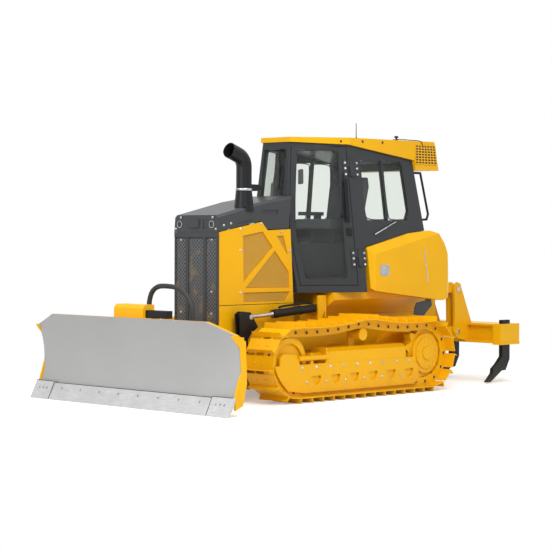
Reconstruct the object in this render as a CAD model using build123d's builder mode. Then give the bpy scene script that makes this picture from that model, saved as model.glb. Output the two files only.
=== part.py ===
"""Crawler dozer with an angling blade and a rear ripper: one STEP file for each piece.

Millimetres. X runs forward towards the blade, Y to the driver's left and Z up. Stations along X
are measured from the middle of the track, and save() moves each piece so that the origin is on
the ground, on the centre plane, half way between the cutting edge and the ripper beam's back.
"""
import os
from math import atan2, cos, degrees, hypot, pi, radians, sin

from build123d import *

# ---------------------------------------------------------------- driving dimensions
# undercarriage
axle_gap = 2144.0        # idler axle to sprocket axle
track_mid = -10.0        # middle of the two axles
gauge = 1548.0           # track centre to track centre
shoe_width = 406.0
shoe_count = 39
wheel_radius = 306.0     # pin circle round the idler and the sprocket
tooth_count = 12
carrier_lift = 60.0      # chain pins over the carrier roller, above the wheels' tops
chain_sag = 32.0         # pins between the carrier and a wheel, below a straight line
link_depth = 46.0        # pin to the rail that the rollers run on
link_crown = 45.0        # pin to the shoe plate
link_thick = 24.0
link_gap = 106.0         # between a shoe's two links
link_toe = 18.0          # half of the gap between two links at the rail
eye_radius = 28.0        # where that gap ends below a pin
plate_thick = 10.0       # shoe plate
grouser_height = 50.0
grouser_thick = 16.0
shoe_gap = 4.0
bushing = 40.0
roller_count = 6
roller_pitch = 292.0
roller_radius = 70.0
roller_mid = -40.0
carrier_radius = 52.0
carrier_x = -45.0
rail_gap = 1.5           # wheels and rollers to the rail
hub_radius = 215.0

# track frame
frame_width = 216.0      # over the roller guards
guard_thick = 20.0
guard_bottom, guard_top = 93.0, 384.0
guard_nose = 1294.0      # front end of the guards
guard_tail = -930.0
frame_top = 535.0
box_front, box_rear = 532.0, -719.0
window_radius = 70.0     # round foot of the windows in the outer guard

# hull
hull_half = 300.0
hull_bottom, hull_top = 330.0, 960.0
hull_front, hull_rear = 1515.0, -1605.0
bay_floor = 700.0        # the hull's top under the engine
bay_start = 330.0        # where the hull steps down to it

# engine bay and hood
bay_half = 318.0         # over the engine panels
bay_sheet = 20.0
bay_rear = 495.0
panel_low = 985.0
hood_front = 1557.0
hood_front_top = 1896.0
hood_crest_x, hood_crest = 901.0, 2040.0
hood_rear_top = 2106.0
hood_side_rear = 1765.0  # the hood's lower edge beside the cab
hood_step_x, hood_step = 837.0, 1753.0
hood_edge = 1840.0       # the hood's lower edge at the top of that step
hood_sheet = 24.0
hood_round = 26.0        # bevel along the hood's top edges
face_depth = 172.0       # hood front's top to its bottom edge
bar_depth = 54.0         # plain bar under it
grille_low = 790.0

# exhaust
stack = (1100.0, 235.0)
stack_foot = 1940.0
stack_radius = 80.0
cone_radius = 100.0
cone_foot, cone_top = 1985.0, 2142.0
bend_z = 2390.0
bend_radius = 130.0
bend_turn = 70.0
mouth_run = 140.0

# cab
cab_floor = 1090.0
cab_top = 2660.0
cab_wall = 50.0
cab_lean = 0.12          # the side walls come in by this for each mm up
door_lean = 0.0996       # and the doors by this
cab_waist_z = 1867.0
brow = (394.0, 194.0)    # left end of the windshield's top edge
corner_x = -184.8        # top of the corner between a door and a side wall
sill_in = 86.0           # the side walls at cab_waist_z inside the tank's sides
roof_thick = 78.0
roof_over = 26.0         # the roof's edge outside the walls
aerial_high = 177.0      # over the roof
windshield_low = 2108.0
post_rear = -295.0       # back of the post between the door and the tank
door_gap = 6.0
glass = 8.0
glass_back = 20.0        # glass behind the wall's outer face
hinge_radius = 11.0
hinge_out = 16.0         # hinge axis outside the corner of the cab

# tank
tank_half = 690.0
tank_front, tank_rear = -345.0, -1722.0
tank_low_front, tank_low_rear = 1098.0, 971.0
tank_top_front = 1564.0
tank_slope = 0.2086
tank_bevel = (52.0, 92.0)
tank_round = 60.0

# blade and its frame
blade_half = 1460.0
blade_top = 881.0
blade_tip = 2528.0
wing_half = 1136.0       # half width of the blade's top edge
wing_top = 762.0
edge_height = 172.0
end_bit = 284.0
mouldboard = 18.0
lift_x, lift_z = -150.0, 430.0
arm_y = 430.0
arm_width = 76.0
arm_bottom, arm_top = 370.0, 500.0
angle_y = 450.0
tilt_z = 440.0
king_back = 478.0        # king pin behind the cutting edge
yoke_back = 363.0        # yoke's rear face behind the cutting edge
yoke_deep = 80.0
yoke_half = 520.0
lug_gap = 62.0           # between the yoke's two angling lugs
trunnion = 38.0

# ripper
ripper_half = 800.0
beam_rear = -2845.0
beam_deep = 358.0
beam_bottom, beam_top = 450.0, 675.0
link_low = (-1850.0, 577.0)
link_high = (-1850.0, 1073.0)
pin_lead = 153.0         # the ripper's pins ahead of its beam
shank_thick = 50.0
shank_y = 744.0

# clearances
free = 6.0               # between pieces that move past each other
seam = 1.0               # between fixed pieces that stand side by side
fit = 0.1                # pin to bore, on the radius

to_middle = -(blade_tip + beam_rear) / 2   # from the track's middle to the middle of the length
idler_x = track_mid + axle_gap / 2
sprocket_x = track_mid - axle_gap / 2
track_y = gauge / 2
wheel_z = wheel_radius + link_crown + plate_thick + grouser_height
rail_z = wheel_z - wheel_radius + link_depth
king_x = blade_tip - king_back
cab_waist = tank_half - sill_in
beam_front = beam_rear + beam_deep
link_reach = link_low[0] - beam_front - pin_lead

os.makedirs("parts", exist_ok=True)


# ---------------------------------------------------------------- helpers
def save(piece, name):
    """Label a finished piece, move it into the machine's frame and write its STEP file."""
    piece = piece.moved(Location((to_middle, 0, 0)))
    piece.label = name
    export_step(piece, f"parts/{name}.step")


def save_pair(piece, name):
    """Write a left piece and its mirror image on the right."""
    save(piece, f"{name}_left")
    save(mirror(piece, about=Plane.XZ), f"{name}_right")


def save_both(piece, name):
    """Write a left piece and its mirror image as one node of separate solids."""
    save(Compound([piece, mirror(piece, about=Plane.XZ)]), name)


def side_plane(y):
    """Sketch plane at a distance left of the centre plane: x forward, y up, normal to the right."""
    return Plane(origin=(0, y, 0), x_dir=(1, 0, 0), z_dir=(0, -1, 0))


def front_plane(x):
    """Sketch plane across the machine: x to the left, y up, normal forward."""
    return Plane(origin=(x, 0, 0), x_dir=(0, 1, 0), z_dir=(1, 0, 0))


def plate(plane, outline, thick, rounding=0.0, mode=Mode.ADD):
    """Add a plate drawn on a plane, its corners rounded."""
    with BuildSketch(plane) as face:
        with BuildLine():
            Polyline(*outline, close=True)
        make_face()
        if rounding:
            fillet(face.vertices(), rounding)
    extrude(face.sketch, amount=thick, mode=mode)


def side_plate(outline, y, thick, rounding=0.0, mode=Mode.ADD):
    """Add a plate drawn in the side view, from y to y - thick."""
    plate(side_plane(y), outline, thick, rounding, mode)


def axle(x, z, y_in, y_out, radius, mode=Mode.ADD):
    """Add a round bar across the machine between two distances from the centre plane."""
    with Locations((x, (y_in + y_out) / 2, z)):
        Cylinder(radius, abs(y_out - y_in), rotation=(90, 0, 0), mode=mode)


def bar(start, end, radius, mode=Mode.ADD):
    """Add a round bar from one point to another."""
    run = Vector(*end) - Vector(*start)
    with BuildSketch(Plane(origin=start, z_dir=run)) as face:
        Circle(radius)
    extrude(face.sketch, amount=run.length, mode=mode)


def block(x, y, z, mode=Mode.ADD):
    """Add a box between pairs of x, y and z."""
    with Locations(((x[0] + x[1]) / 2, (y[0] + y[1]) / 2, (z[0] + z[1]) / 2)):
        Box(abs(x[1] - x[0]), abs(y[1] - y[0]), abs(z[1] - z[0]), mode=mode)


def both_sides(low, high):
    """The two spans of y that lie between two distances from the centre plane."""
    return ((low, high), (-high, -low))


def slot_end(centre, toe, radius, y, thick, mode=Mode.ADD):
    """Add a link plate in the side view, round at both of its pins."""
    with BuildSketch(side_plane(y)) as face:
        SlotCenterToCenter(hypot(toe[0] - centre[0], toe[1] - centre[1]), 2 * radius)
    turn = degrees(atan2(toe[1] - centre[1], toe[0] - centre[0]))
    middle = Location(((centre[0] + toe[0]) / 2, 0, (centre[1] + toe[1]) / 2), (0, -turn, 0))
    extrude(face.sketch.moved(middle), amount=thick, mode=mode)


# ---------------------------------------------------------------- track
top = wheel_z + wheel_radius
crest = top + carrier_lift
low = wheel_z - wheel_radius
sag_z = (top + crest) / 2 - chain_sag
with BuildLine(Plane.XZ) as chain_line:
    Line((sprocket_x, low), (idler_x, low))
    ThreePointArc((idler_x, low), (idler_x + wheel_radius, wheel_z), (idler_x, top))
    ThreePointArc((idler_x, top), ((idler_x + carrier_x) / 2, sag_z), (carrier_x, crest))
    ThreePointArc((carrier_x, crest), ((sprocket_x + carrier_x) / 2, sag_z), (sprocket_x, top))
    ThreePointArc((sprocket_x, top), (sprocket_x - wheel_radius, wheel_z), (sprocket_x, low))
chain = chain_line.wires()[0]
pitch = chain.length / shoe_count
print("chain pitch", round(pitch, 2), "sprocket pitch", round(2 * pi * wheel_radius / tooth_count, 2))

pins = [chain.position_at(k / shoe_count) for k in range(shoe_count)]
runs = [(front - back).normalized() for back, front in zip(pins, pins[1:] + pins[:1])]
normals = [Vector(0, 1, 0).cross(run) for run in runs]
places = []
for back, front, run, normal in zip(pins, pins[1:] + pins[:1], runs, normals):
    middle = (back + front) * 0.5 + Vector(0, track_y, 0)
    places.append(Plane(origin=middle, x_dir=run, z_dir=normal).location)
corners = []
for pin, before, after in zip(pins, normals[-1:] + normals[:-1], normals):
    corners.append((pin, (before + after) / (1 + before.dot(after))))
gaps = []
for pin, corner in corners:
    foot = pin - corner * (link_depth + 1)
    gaps.append(Location((foot.X, foot.Z, 0), (0, 0, degrees(atan2(corner.Z, corner.X)) - 90)))


def chain_loop(amount):
    """Closed outline through the pins, moved outwards by amount."""
    moved = [pin + corner * amount for pin, corner in corners]
    with BuildSketch(mode=Mode.PRIVATE) as loop:
        with BuildLine():
            Polyline(*[(point.X, point.Z) for point in moved], close=True)
        make_face()
    return loop.sketch


half = pitch / 2 - shoe_gap / 2
root, tip = link_crown + plate_thick, link_crown + plate_thick + grouser_height
with BuildPart() as shoe:
    side_plate([(-half, link_crown), (half, link_crown), (half, root), (grouser_thick - half, root),
                (grouser_thick / 2 - half, tip)], shoe_width / 2, shoe_width)
    with Locations((pitch / 2, 0, 0)):
        Box(bushing, link_gap + link_thick / 2, bushing)

with BuildPart() as track:
    for inside, outside in both_sides(link_gap / 2, link_gap / 2 + link_thick):
        with BuildSketch(side_plane(track_y + outside)) as rail:
            add(chain_loop(link_crown))
            add(chain_loop(-link_depth), mode=Mode.SUBTRACT)
            for gap in gaps:
                with Locations(gap):
                    with BuildLine():
                        Polyline((-link_toe, 0), (link_toe, 0), (0, link_depth - eye_radius), close=True)
                    make_face(mode=Mode.SUBTRACT)
        extrude(rail.sketch, amount=link_thick)
    with Locations(*places):
        add(shoe.part)
save_pair(track.part, "track")

# ---------------------------------------------------------------- wheels and rollers
tread = (wheel_radius ** 2 - (pitch / 2) ** 2) ** 0.5 - link_depth - rail_gap
tread_half = link_gap / 2 + link_thick
flange_half = link_gap / 2 - free
flange = wheel_radius - bushing / 2 - free
dish, dish_deep, boss = 195.0, 28.0, 80.0

with BuildPart() as idler:
    axle(idler_x, wheel_z, track_y - tread_half, track_y + tread_half, tread)
    axle(idler_x, wheel_z, track_y - flange_half, track_y + flange_half, flange)
    axle(idler_x, wheel_z, track_y + tread_half - dish_deep, track_y + tread_half, dish, mode=Mode.SUBTRACT)
    axle(idler_x, wheel_z, track_y, track_y + tread_half, boss)
save_both(idler.part, "idlers")

tooth_line = [(flange - 30, 46), (wheel_radius + 4, 17), (wheel_radius + 4, -17), (flange - 30, -46)]


def turned(points, centre, angle):
    """Side outline turned about a centre, degrees from X towards Z."""
    across, up = cos(radians(angle)), sin(radians(angle))
    return [(centre[0] + u * across - v * up, centre[1] + u * up + v * across) for u, v in points]


hub_out = track_y + 78
with BuildPart() as drive:
    axle(sprocket_x, wheel_z, track_y - flange_half, track_y + flange_half, flange - 26)
    for k in range(tooth_count):
        tooth = turned(tooth_line, (sprocket_x, wheel_z), (k + 0.5) * 360 / tooth_count - 90)
        side_plate(tooth, track_y + flange_half, 2 * flange_half)
    axle(sprocket_x, wheel_z, hull_half, hub_out, hub_radius)
    axle(sprocket_x, wheel_z, hub_out, hub_out + 14, 168)
    axle(sprocket_x, wheel_z, hub_out + 14, hub_out + 30, 70)
save_both(drive.part, "final_drives")

roller_z = rail_z + rail_gap + roller_radius
roller_first = roller_mid - (roller_count - 1) / 2 * roller_pitch
roller_x = [roller_first + k * roller_pitch for k in range(roller_count)]
with BuildPart() as rollers:
    for x in roller_x:
        axle(x, roller_z, track_y - tread_half - seam, track_y + frame_width / 2 - guard_thick - 2, roller_radius)
save_both(rollers.part, "rollers")

over = [p for p in places if abs(p.position.X - carrier_x) < pitch and p.position.Z > wheel_z]
carrier_z = min(p.position.Z for p in over) - link_depth - carrier_radius - rail_gap
with BuildPart() as carrier:
    axle(carrier_x, carrier_z, track_y - tread_half, track_y + tread_half, carrier_radius)
    axle(carrier_x, carrier_z, track_y + tread_half, track_y + tread_half + 12, carrier_radius + 12)
    block((carrier_x - 45, carrier_x + 45), (track_y - tread_half - 30, track_y - tread_half),
          (frame_top, carrier_z + 26))
save_both(carrier.part, "carrier_rollers")

# ---------------------------------------------------------------- track frame
frame_out = track_y + frame_width / 2
frame_in = track_y - frame_width / 2
yoke_x = idler_x - flange - free
tube_z = 448.0
guard_line = [(guard_tail + 80, guard_top), (guard_tail, guard_bottom + 142), (guard_tail, guard_bottom + 47),
              (guard_tail + 70, guard_bottom), (guard_nose - 433, guard_bottom), (guard_nose - 189, 125),
              (guard_nose - 85, 227), (guard_nose - 30, 305), (guard_nose, guard_top)]
yoke_line = [(930, 372), (idler_x + 158, guard_top), (idler_x + 158, 470), (idler_x + 98, 503), (980, 487)]
with BuildPart() as track_frame:
    plate(front_plane(box_rear), [(frame_in, guard_top), (frame_out - 6, guard_top), (frame_out - 6, 498),
                                  (frame_out - 62, frame_top), (frame_in, frame_top)], box_front - box_rear)
    block((box_front, box_front + 16), (frame_in, frame_out), (guard_top, frame_top + 6))
    block((box_rear, yoke_x), (frame_in, frame_out), (320, guard_top))
    for y in (frame_out, frame_in + guard_thick):
        side_plate(guard_line, y, guard_thick)
    for x in roller_x:
        side_plate([(x - window_radius, 262), (x - window_radius, 236), (x - 50, 187), (x, 170), (x + 50, 187),
                    (x + window_radius, 236), (x + window_radius, 262)], frame_out + 1, guard_thick + 1,
                   mode=Mode.SUBTRACT)
    bar((box_front, track_y, tube_z), (yoke_x, track_y, tube_z), 44)
    for span in both_sides(tread_half + free, frame_width / 2):
        side_plate(yoke_line, track_y + span[1], span[1] - span[0])
    tube_y = track_y + tread_half + free + 27
    bar((box_front, tube_y, tube_z), (960, tube_y, tube_z), 27)
    block((yoke_x - 40, yoke_x), (frame_in, frame_out), (guard_top, 492))
save_pair(track_frame.part, "track_frame")

# ---------------------------------------------------------------- hull
lift_base = (186.0, 927.0)
lift_eye = (1220.0, 860.0)
ear_out = arm_y + trunnion + 6
with BuildPart() as hull:
    side_plate([(hull_rear, hull_top), (hull_rear, 430), (hull_rear + 180, hull_bottom), (1175, hull_bottom),
                (hull_front, 520), (hull_front, bay_floor), (bay_start, bay_floor), (bay_start, hull_top)],
               hull_half, 2 * hull_half)
    for side in both_sides(hull_half, frame_in):
        block((5, 95), side, (180, 290))
        block((-805, -695), side, (400, 500))
    block((5, 95), (-hull_half, hull_half), (180, hull_bottom))
    for side in both_sides(hull_half, hull_half + 30):
        block((lift_x - 90, lift_x + 90), side, (lift_z - 100, lift_z + 100))
    for side in (-1, 1):
        axle(lift_x, lift_z, side * (hull_half + 30), side * (arm_y + arm_width / 2 + 8), trunnion)
    for side in both_sides(hull_half, arm_y - 22):
        block((lift_base[0] - 60, lift_base[0] + 50), side, (870, hull_top - seam))
    for side in both_sides(hull_half, ear_out):
        block((lift_base[0] - 80, lift_base[0] - 60), side, (830, cab_floor - 30))
    for y in (ear_out, -arm_y - 22):
        side_plate([(lift_base[0] + 44, cab_floor - 30), (lift_base[0] - 61, cab_floor - 30),
                    (lift_base[0] - 61, 900), (lift_base[0] - 10, 819), (lift_base[0] + 44, 819)],
                   y, ear_out - arm_y - 22)
save(hull.part, "hull")

saddle_low, saddle_half, saddle_foot = 842.0, 560.0, 330.0
with BuildPart() as cab_base:
    side_plate([(80, saddle_low), (80, cab_floor - seam), (post_rear - 20, cab_floor - seam),
                (tank_front - 98, tank_low_front - seam), (hull_rear + 30, tank_low_rear - seam),
                (hull_rear + 30, saddle_low)], saddle_half, 2 * saddle_half)
    for side in (-1, 1):
        plate(front_plane(hull_rear), [(side * saddle_foot, saddle_low - 1), (side * saddle_half, 1010),
                                       (side * (saddle_half + 1), saddle_low - 1)], 2000, mode=Mode.SUBTRACT)
    block((hull_rear, 100), (-hull_half - seam, hull_half + seam), (saddle_low - 1, hull_top + seam),
          mode=Mode.SUBTRACT)
save(cab_base.part, "cab_base")

# ---------------------------------------------------------------- engine bay
face_low = hood_front_top - face_depth
bar_low = face_low - bar_depth
with BuildPart() as engine:
    block((535, 1315), (-210, 210), (bay_floor + seam, 1450))
save(engine.part, "engine")

with BuildPart() as radiator:
    block((1375, 1465), (-280, 280), (bay_floor + seam, 1780))
save(radiator.part, "radiator")

rear_line = [(bay_rear - 62, bay_floor), (bay_rear - 50, panel_low), (bay_rear, 1740)]
with BuildPart() as bay_frame:
    for y in (bay_half, -hull_half - seam):
        side_plate([(bay_rear - 62, bay_floor), (bay_rear - 50, panel_low - free),
                    (hood_front - 30, panel_low - free), (hood_front - 30, bay_floor)],
                   y, bay_half - hull_half - seam)
    for side in both_sides(250, bay_half - bay_sheet - seam):
        block((hood_front - 60, hood_front - 30), side, (panel_low - free, bar_low - seam))
save(bay_frame.part, "bay_frame")

hood_line = [(bay_rear, hood_side_rear), (hood_step_x, hood_step), (918, hood_edge), (hood_front + 3, face_low),
             (hood_front - 12, hood_front_top), (hood_crest_x, hood_crest), (bay_rear - 30, hood_rear_top),
             (bay_rear - 30, 2060)]
with BuildPart() as hood:
    side_plate(hood_line, bay_half, 2 * bay_half)
    ridges = hood.edges().filter_by(lambda e: abs(abs(e.center().Y) - bay_half) < 1
                                    and e.center().Z > hood_front_top)
    chamfer(ridges, hood_round)
    side_plate([(bay_rear - 40, 1700), (hood_front - hood_sheet - 12, 1600),
                (hood_front - hood_sheet - 12, hood_front_top - hood_sheet),
                (hood_crest_x, hood_crest - hood_sheet), (bay_rear - 40, hood_rear_top - hood_sheet)],
               bay_half - hood_sheet, 2 * (bay_half - hood_sheet), mode=Mode.SUBTRACT)
    block((hood_front - 12, hood_front + 1), (104, 172), (1756, 1853), mode=Mode.SUBTRACT)
    for y in (-238, 238):
        with Locations((hood_front - 4, y, 1802)):
            Cylinder(36, 16, rotation=(0, 90, 0), mode=Mode.SUBTRACT)
    for side in both_sides(bay_half - 10, bay_half + 1):
        block((684, 924), side, (1919, 1953), mode=Mode.SUBTRACT)
    block((hood_front - 12, hood_front + 12), (-86, 50), (1769, 1854))
save(hood.part, "hood")

with BuildPart() as lamps:
    for y in (-238, 238):
        with Locations((hood_front - 7, y, 1802)):
            Cylinder(30, 8, rotation=(0, 90, 0))
save(lamps.part, "lamps")

with BuildPart() as grille:
    block((hood_front - 24, hood_front - 12), (-bay_half, bay_half), (grille_low, bar_low))
    for span in (*both_sides(108, 150), *both_sides(300, bay_half)):
        block((hood_front - 12, hood_front), span, (grille_low, bar_low))
    block((hood_front - 24, hood_front + 3), (-bay_half, bay_half), (bar_low, face_low - seam))
save(grille.part, "grille")

meshes = (
    ((1194, 1686), (908, 1732), (757, 1567), (1183, 1211)),
    ((729, 1534), (518, 1312), (507, 1145), (1155, 1151)),
    ((1183, 1106), (501, 1105), (560, 1006), (1182, 1006)),
    ((701, 1686), (596, 1689), (532, 1480)))
with BuildPart() as engine_door:
    side_plate([(bay_rear - 50, panel_low), (hood_front - 62, panel_low), (hood_front - 62, face_low + 5),
                (918, hood_edge - 9), (hood_step_x - 2, hood_step - 10), (bay_rear, hood_side_rear - 8)],
               bay_half, bay_sheet)
    side_plate([(hood_front - 61, panel_low), (hood_front - 30, panel_low), (hood_front - 30, face_low - 1),
                (hood_front - 61, face_low + 4)], bay_half, bay_sheet)
    for mesh in meshes:
        side_plate(mesh, bay_half, bay_sheet - 4, mode=Mode.SUBTRACT)
save_both(engine_door.part, "engine_panels")

with BuildPart() as exhaust:
    with BuildSketch(Plane.XZ.offset(-stack[1])) as profile:
        with BuildLine():
            Polyline((stack[0], stack_foot), (stack[0] + cone_radius + 6, stack_foot),
                     (stack[0] + cone_radius, cone_foot), (stack[0] + stack_radius + 4, cone_top),
                     (stack[0] + stack_radius + 4, cone_top + 4), (stack[0] + stack_radius, cone_top + 4),
                     (stack[0] + stack_radius, bend_z), (stack[0], bend_z), close=True)
        make_face()
    revolve(profile.sketch, axis=Axis((*stack, 0), (0, 0, 1)))
    with BuildSketch(Plane.XY.offset(bend_z)) as throat:
        with Locations(stack):
            Circle(stack_radius)
    elbow = Axis((stack[0] + bend_radius, stack[1], bend_z), (0, 1, 0))
    revolve(throat.sketch, axis=elbow, revolution_arc=bend_turn)
    end = Plane(throat.sketch.faces()[0].rotate(elbow, bend_turn))
    mouth = Vector(end.origin)
    way = Vector(end.z_dir)
    bar(tuple(mouth), tuple(mouth + way * mouth_run), stack_radius)
    block((stack[0] + 225, stack[0] + 400), (0, 500), (bend_z - 200, bend_z + 400), mode=Mode.SUBTRACT)
    bar(tuple(mouth + way * 10), tuple(mouth + way * 300), stack_radius - 7, mode=Mode.SUBTRACT)
    side_plate([(stack[0] - 50, 2218), (stack[0] - 50, 2150), (stack[0] - 160, 2148), (stack[0] - 280, 2166),
                (stack[0] - 280, 2190), (stack[0] - 180, 2216)], stack[1] + 22, 44)
    side_plate([(bay_rear, hood_front_top - 200), (hood_front, hood_front_top - 200),
                (hood_front, hood_front_top + seam), (hood_crest_x, hood_crest + seam),
                (bay_rear, hood_rear_top)], bay_half, bay_half, mode=Mode.SUBTRACT)
save(exhaust.part, "exhaust")

# ---------------------------------------------------------------- cab
door_top_z = cab_top - 6


def wall_half(z):
    """Half width over the side walls at a height."""
    return cab_waist + cab_lean * (cab_waist_z - z)


door_back = Vector(corner_x - brow[0], wall_half(door_top_z) - brow[1], 0).normalized()
door_normal = Vector(door_back.Y, -door_back.X, door_lean).normalized()
window_top = cab_top - 160
roof_low_x, roof_low_z = -169.0, cab_top
roof_rear_x, roof_rear_z = -1206.0, cab_top - 137
front_top = cab_top + 19

cab_side = [(brow[0] - 2, front_top), (462, 2047), (478, 1740), (421, cab_floor), (post_rear, cab_floor),
            (post_rear, tank_top_front + seam), (-1029, 1715 + seam), (-1330, 1749), (roof_rear_x - 14, roof_rear_z),
            (roof_low_x, roof_low_z)]


def door_plane(start, side=1):
    """Plane of a door: x back along it, y up it, its outer face at start = 0."""
    out = Vector(door_normal.X, side * door_normal.Y, door_normal.Z)
    back = Vector(door_back.X, side * door_back.Y, 0)
    corner = Vector(brow[0], side * brow[1], door_top_z)
    return Plane(origin=corner + out * start, x_dir=back, z_dir=out)


def on_door(points):
    """Points given back along the door and as heights, in the door's own plane."""
    rise = hypot(door_normal.X, door_normal.Y)
    return [(along, (height - door_top_z) / rise) for along, height in points]


def cab_corner(z):
    """Point at a height on the left corner between the side wall and the door."""
    y = wall_half(z)
    back = door_normal.Y * (y - brow[1]) + door_normal.Z * (z - door_top_z)
    return Vector(brow[0] - back / door_normal.X, y, z)


def door_length(z):
    """Distance along the door's plane from the windshield to the corner of the cab at a height."""
    return (cab_corner(z) - Vector(*brow, door_top_z)).dot(door_back)


def cab_body(inset):
    """The cab's outline as a solid, every wall brought in by inset."""
    with BuildPart() as body:
        with BuildSketch(side_plane(900)) as face:
            with BuildLine():
                Polyline(*cab_side, close=True)
            make_face()
            if inset:
                offset(amount=-inset, kind=Kind.INTERSECTION, mode=Mode.REPLACE)
        extrude(face.sketch, amount=1800)
        low, high = cab_floor - 90, cab_top + 90
        wide, narrow = wall_half(low) - inset, wall_half(high) - inset
        plate(front_plane(-2000), [(-wide, low), (wide, low), (narrow, high), (-narrow, high)], 4000,
              mode=Mode.INTERSECT)
        for side in (1, -1):
            with BuildSketch(door_plane(-inset, side)) as outside:
                Rectangle(6000, 6000)
            extrude(outside.sketch, amount=2000, mode=Mode.SUBTRACT)
    return body.part


door_front = [(20, cab_top - 20), (-12, 2047), (-18, 1740), (84, cab_floor + 72)]
door_rear = [(door_length(cab_floor + 72) - 27, cab_floor + 72), (door_length(cab_top - 20) - 22, cab_top - 20)]
pane_line = [(80, cab_top - 58), (46, 2047), (40, 1740), (146, 1238), (614, 1238), (550, cab_top - 58)]
front_pane = [(-352, window_top), (-698, window_top), (-719, 1858), (-400, 1858), (-362, 1905)]
rear_pane = [(-714, window_top), (-1010, window_top), (-1048, window_top - 42), (-1098, 1960), (-1045, 1860),
             (-735, 1858)]
with BuildPart() as window_cuts:
    side_plate(front_pane, 800, 340)
    side_plate(rear_pane, 800, 340)
    mirror(about=Plane.XZ)
    plate(front_plane(345), [(-165, cab_top - 58), (165, cab_top - 58), (165, windshield_low), (-165, windshield_low)],
          300)
    plate(front_plane(-1440), [(-430, window_top - 90), (430, window_top - 90), (470, 1860), (-470, 1860)], 280, 40)
with BuildPart() as doorways:
    plate(door_plane(-140), on_door(door_front + door_rear), 280)
    mirror(about=Plane.XZ)
with BuildPart() as cab_frame:
    add(cab_body(0))
    add(cab_body(cab_wall), mode=Mode.SUBTRACT)
    add(window_cuts.part, mode=Mode.SUBTRACT)
    add(doorways.part, mode=Mode.SUBTRACT)
save(cab_frame.part, "cab_frame")

with BuildPart() as windows:
    add(cab_body(glass_back))
    add(cab_body(glass_back + glass), mode=Mode.SUBTRACT)
    add(window_cuts.part, mode=Mode.INTERSECT)
save(windows.part, "cab_windows")

hinge_low, hinge_high = cab_corner(cab_floor + 72), cab_corner(cab_top - 32)
hinge_way = (hinge_high - hinge_low).normalized()
hinge_shift = Vector(0.25, 0.96, 0.11) * hinge_out
hinge_heights = (cab_floor + 265, cab_top - 345)
hinge_long = 190.0


def hinge_point(z):
    """Point on the left door's hinge axis at a height."""
    return hinge_low + hinge_shift + hinge_way * ((z - hinge_low.Z) / hinge_way.Z)


with BuildPart() as door:
    with BuildSketch(door_plane(-cab_wall)) as leaf:
        with BuildLine():
            Polyline(*on_door(door_front + door_rear), close=True)
        make_face()
        offset(amount=-door_gap, kind=Kind.INTERSECTION, mode=Mode.REPLACE)
    extrude(leaf.sketch, amount=cab_wall)
    plate(door_plane(-cab_wall - 1), on_door(pane_line), cab_wall + 2, 42, mode=Mode.SUBTRACT)
    for z in hinge_heights:
        along = door_length(z + hinge_long / 2)
        plate(door_plane(0), on_door([(along - 76, z), (along - 32, z), (along - 42, z + hinge_long),
                                      (along - 86, z + hinge_long)]), 9)
        knuckle = hinge_point(z + hinge_long / 2 + seam)
        bar(tuple(knuckle), tuple(hinge_point(z + hinge_long - 10)), hinge_radius)
        plate(door_plane(2), on_door([(along - 48, z + 105), (along + 4, z + 105), (along - 1, z + 175),
                                      (along - 53, z + 175)]), 10)
save_pair(door.part, "door")
with BuildPart() as door_glass:
    plate(door_plane(-glass_back - glass), on_door(pane_line), glass, 42)
save_pair(door_glass.part, "door_glass")

handle_z = cab_top - 598
with BuildPart() as handle:
    plate(door_plane(0), on_door([(578, handle_z + 227), (634, handle_z + 227), (652, handle_z - 227),
                                  (596, handle_z - 227)]), 16)
    plate(door_plane(16), on_door([(590, handle_z + 203), (606, handle_z + 203), (622, handle_z - 202),
                                   (606, handle_z - 202)]), 20)
save_pair(handle.part, "door_handle")

with BuildPart() as hinges:
    for z in hinge_heights:
        bar(tuple(hinge_point(z + 10)), tuple(hinge_point(z + hinge_long / 2)), hinge_radius)
        middle = z + hinge_long / 2
        x = hinge_point(middle).X
        wall = Plane(origin=(x, wall_half(middle), middle), x_dir=(1, 0, 0), z_dir=(0, 1, cab_lean))
        plate(wall, [(-20, -hinge_long / 2), (-122, -hinge_long / 2), (-118, hinge_long / 2),
                     (-20, hinge_long / 2)], 9)
        plate(wall.offset(2), [(1, 85), (-30, 85), (-30, 4), (1, 4)], 10)
save_both(hinges.part, "door_hinges")

roof_profile = [(roof_low_x, roof_low_z + seam), (brow[0] + 8, front_top + seam),
                (brow[0] + 8, cab_top + roof_thick - 6), (-1569, cab_top + roof_thick),
                (-1647, cab_top - 242), (roof_rear_x - 42, cab_top - 242), (roof_rear_x - 20, roof_rear_z + seam)]
roof_plan = [(brow[0] + 9, brow[1] + 20), (-181, wall_half(cab_top) + roof_over),
             (-1210, wall_half(cab_top) + roof_over + 25), (-1660, wall_half(cab_top) + roof_over + 25)]
vent = [(-1236, cab_top - 180), (-1236, cab_top + 26), (-1545, cab_top + 34), (-1582, cab_top - 176)]
with BuildPart() as roof:
    side_plate(roof_profile, 700, 1400)
    plate(Plane.XY.offset(cab_top - 400), roof_plan + [(x, -y) for x, y in reversed(roof_plan)], 800,
          mode=Mode.INTERSECT)
    for side in (1, -1):
        edge = side * roof_plan[-1][1]
        side_plate(vent, max(edge, edge - side * 8), 8, mode=Mode.SUBTRACT)
    bar((-549, 300, cab_top + roof_thick - 12), (-549, 300, cab_top + roof_thick + aerial_high), 3)
    with Locations((-610, 240, cab_top + roof_thick + 6)):
        Cylinder(30, 18)
save(roof.part, "roof")

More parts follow.
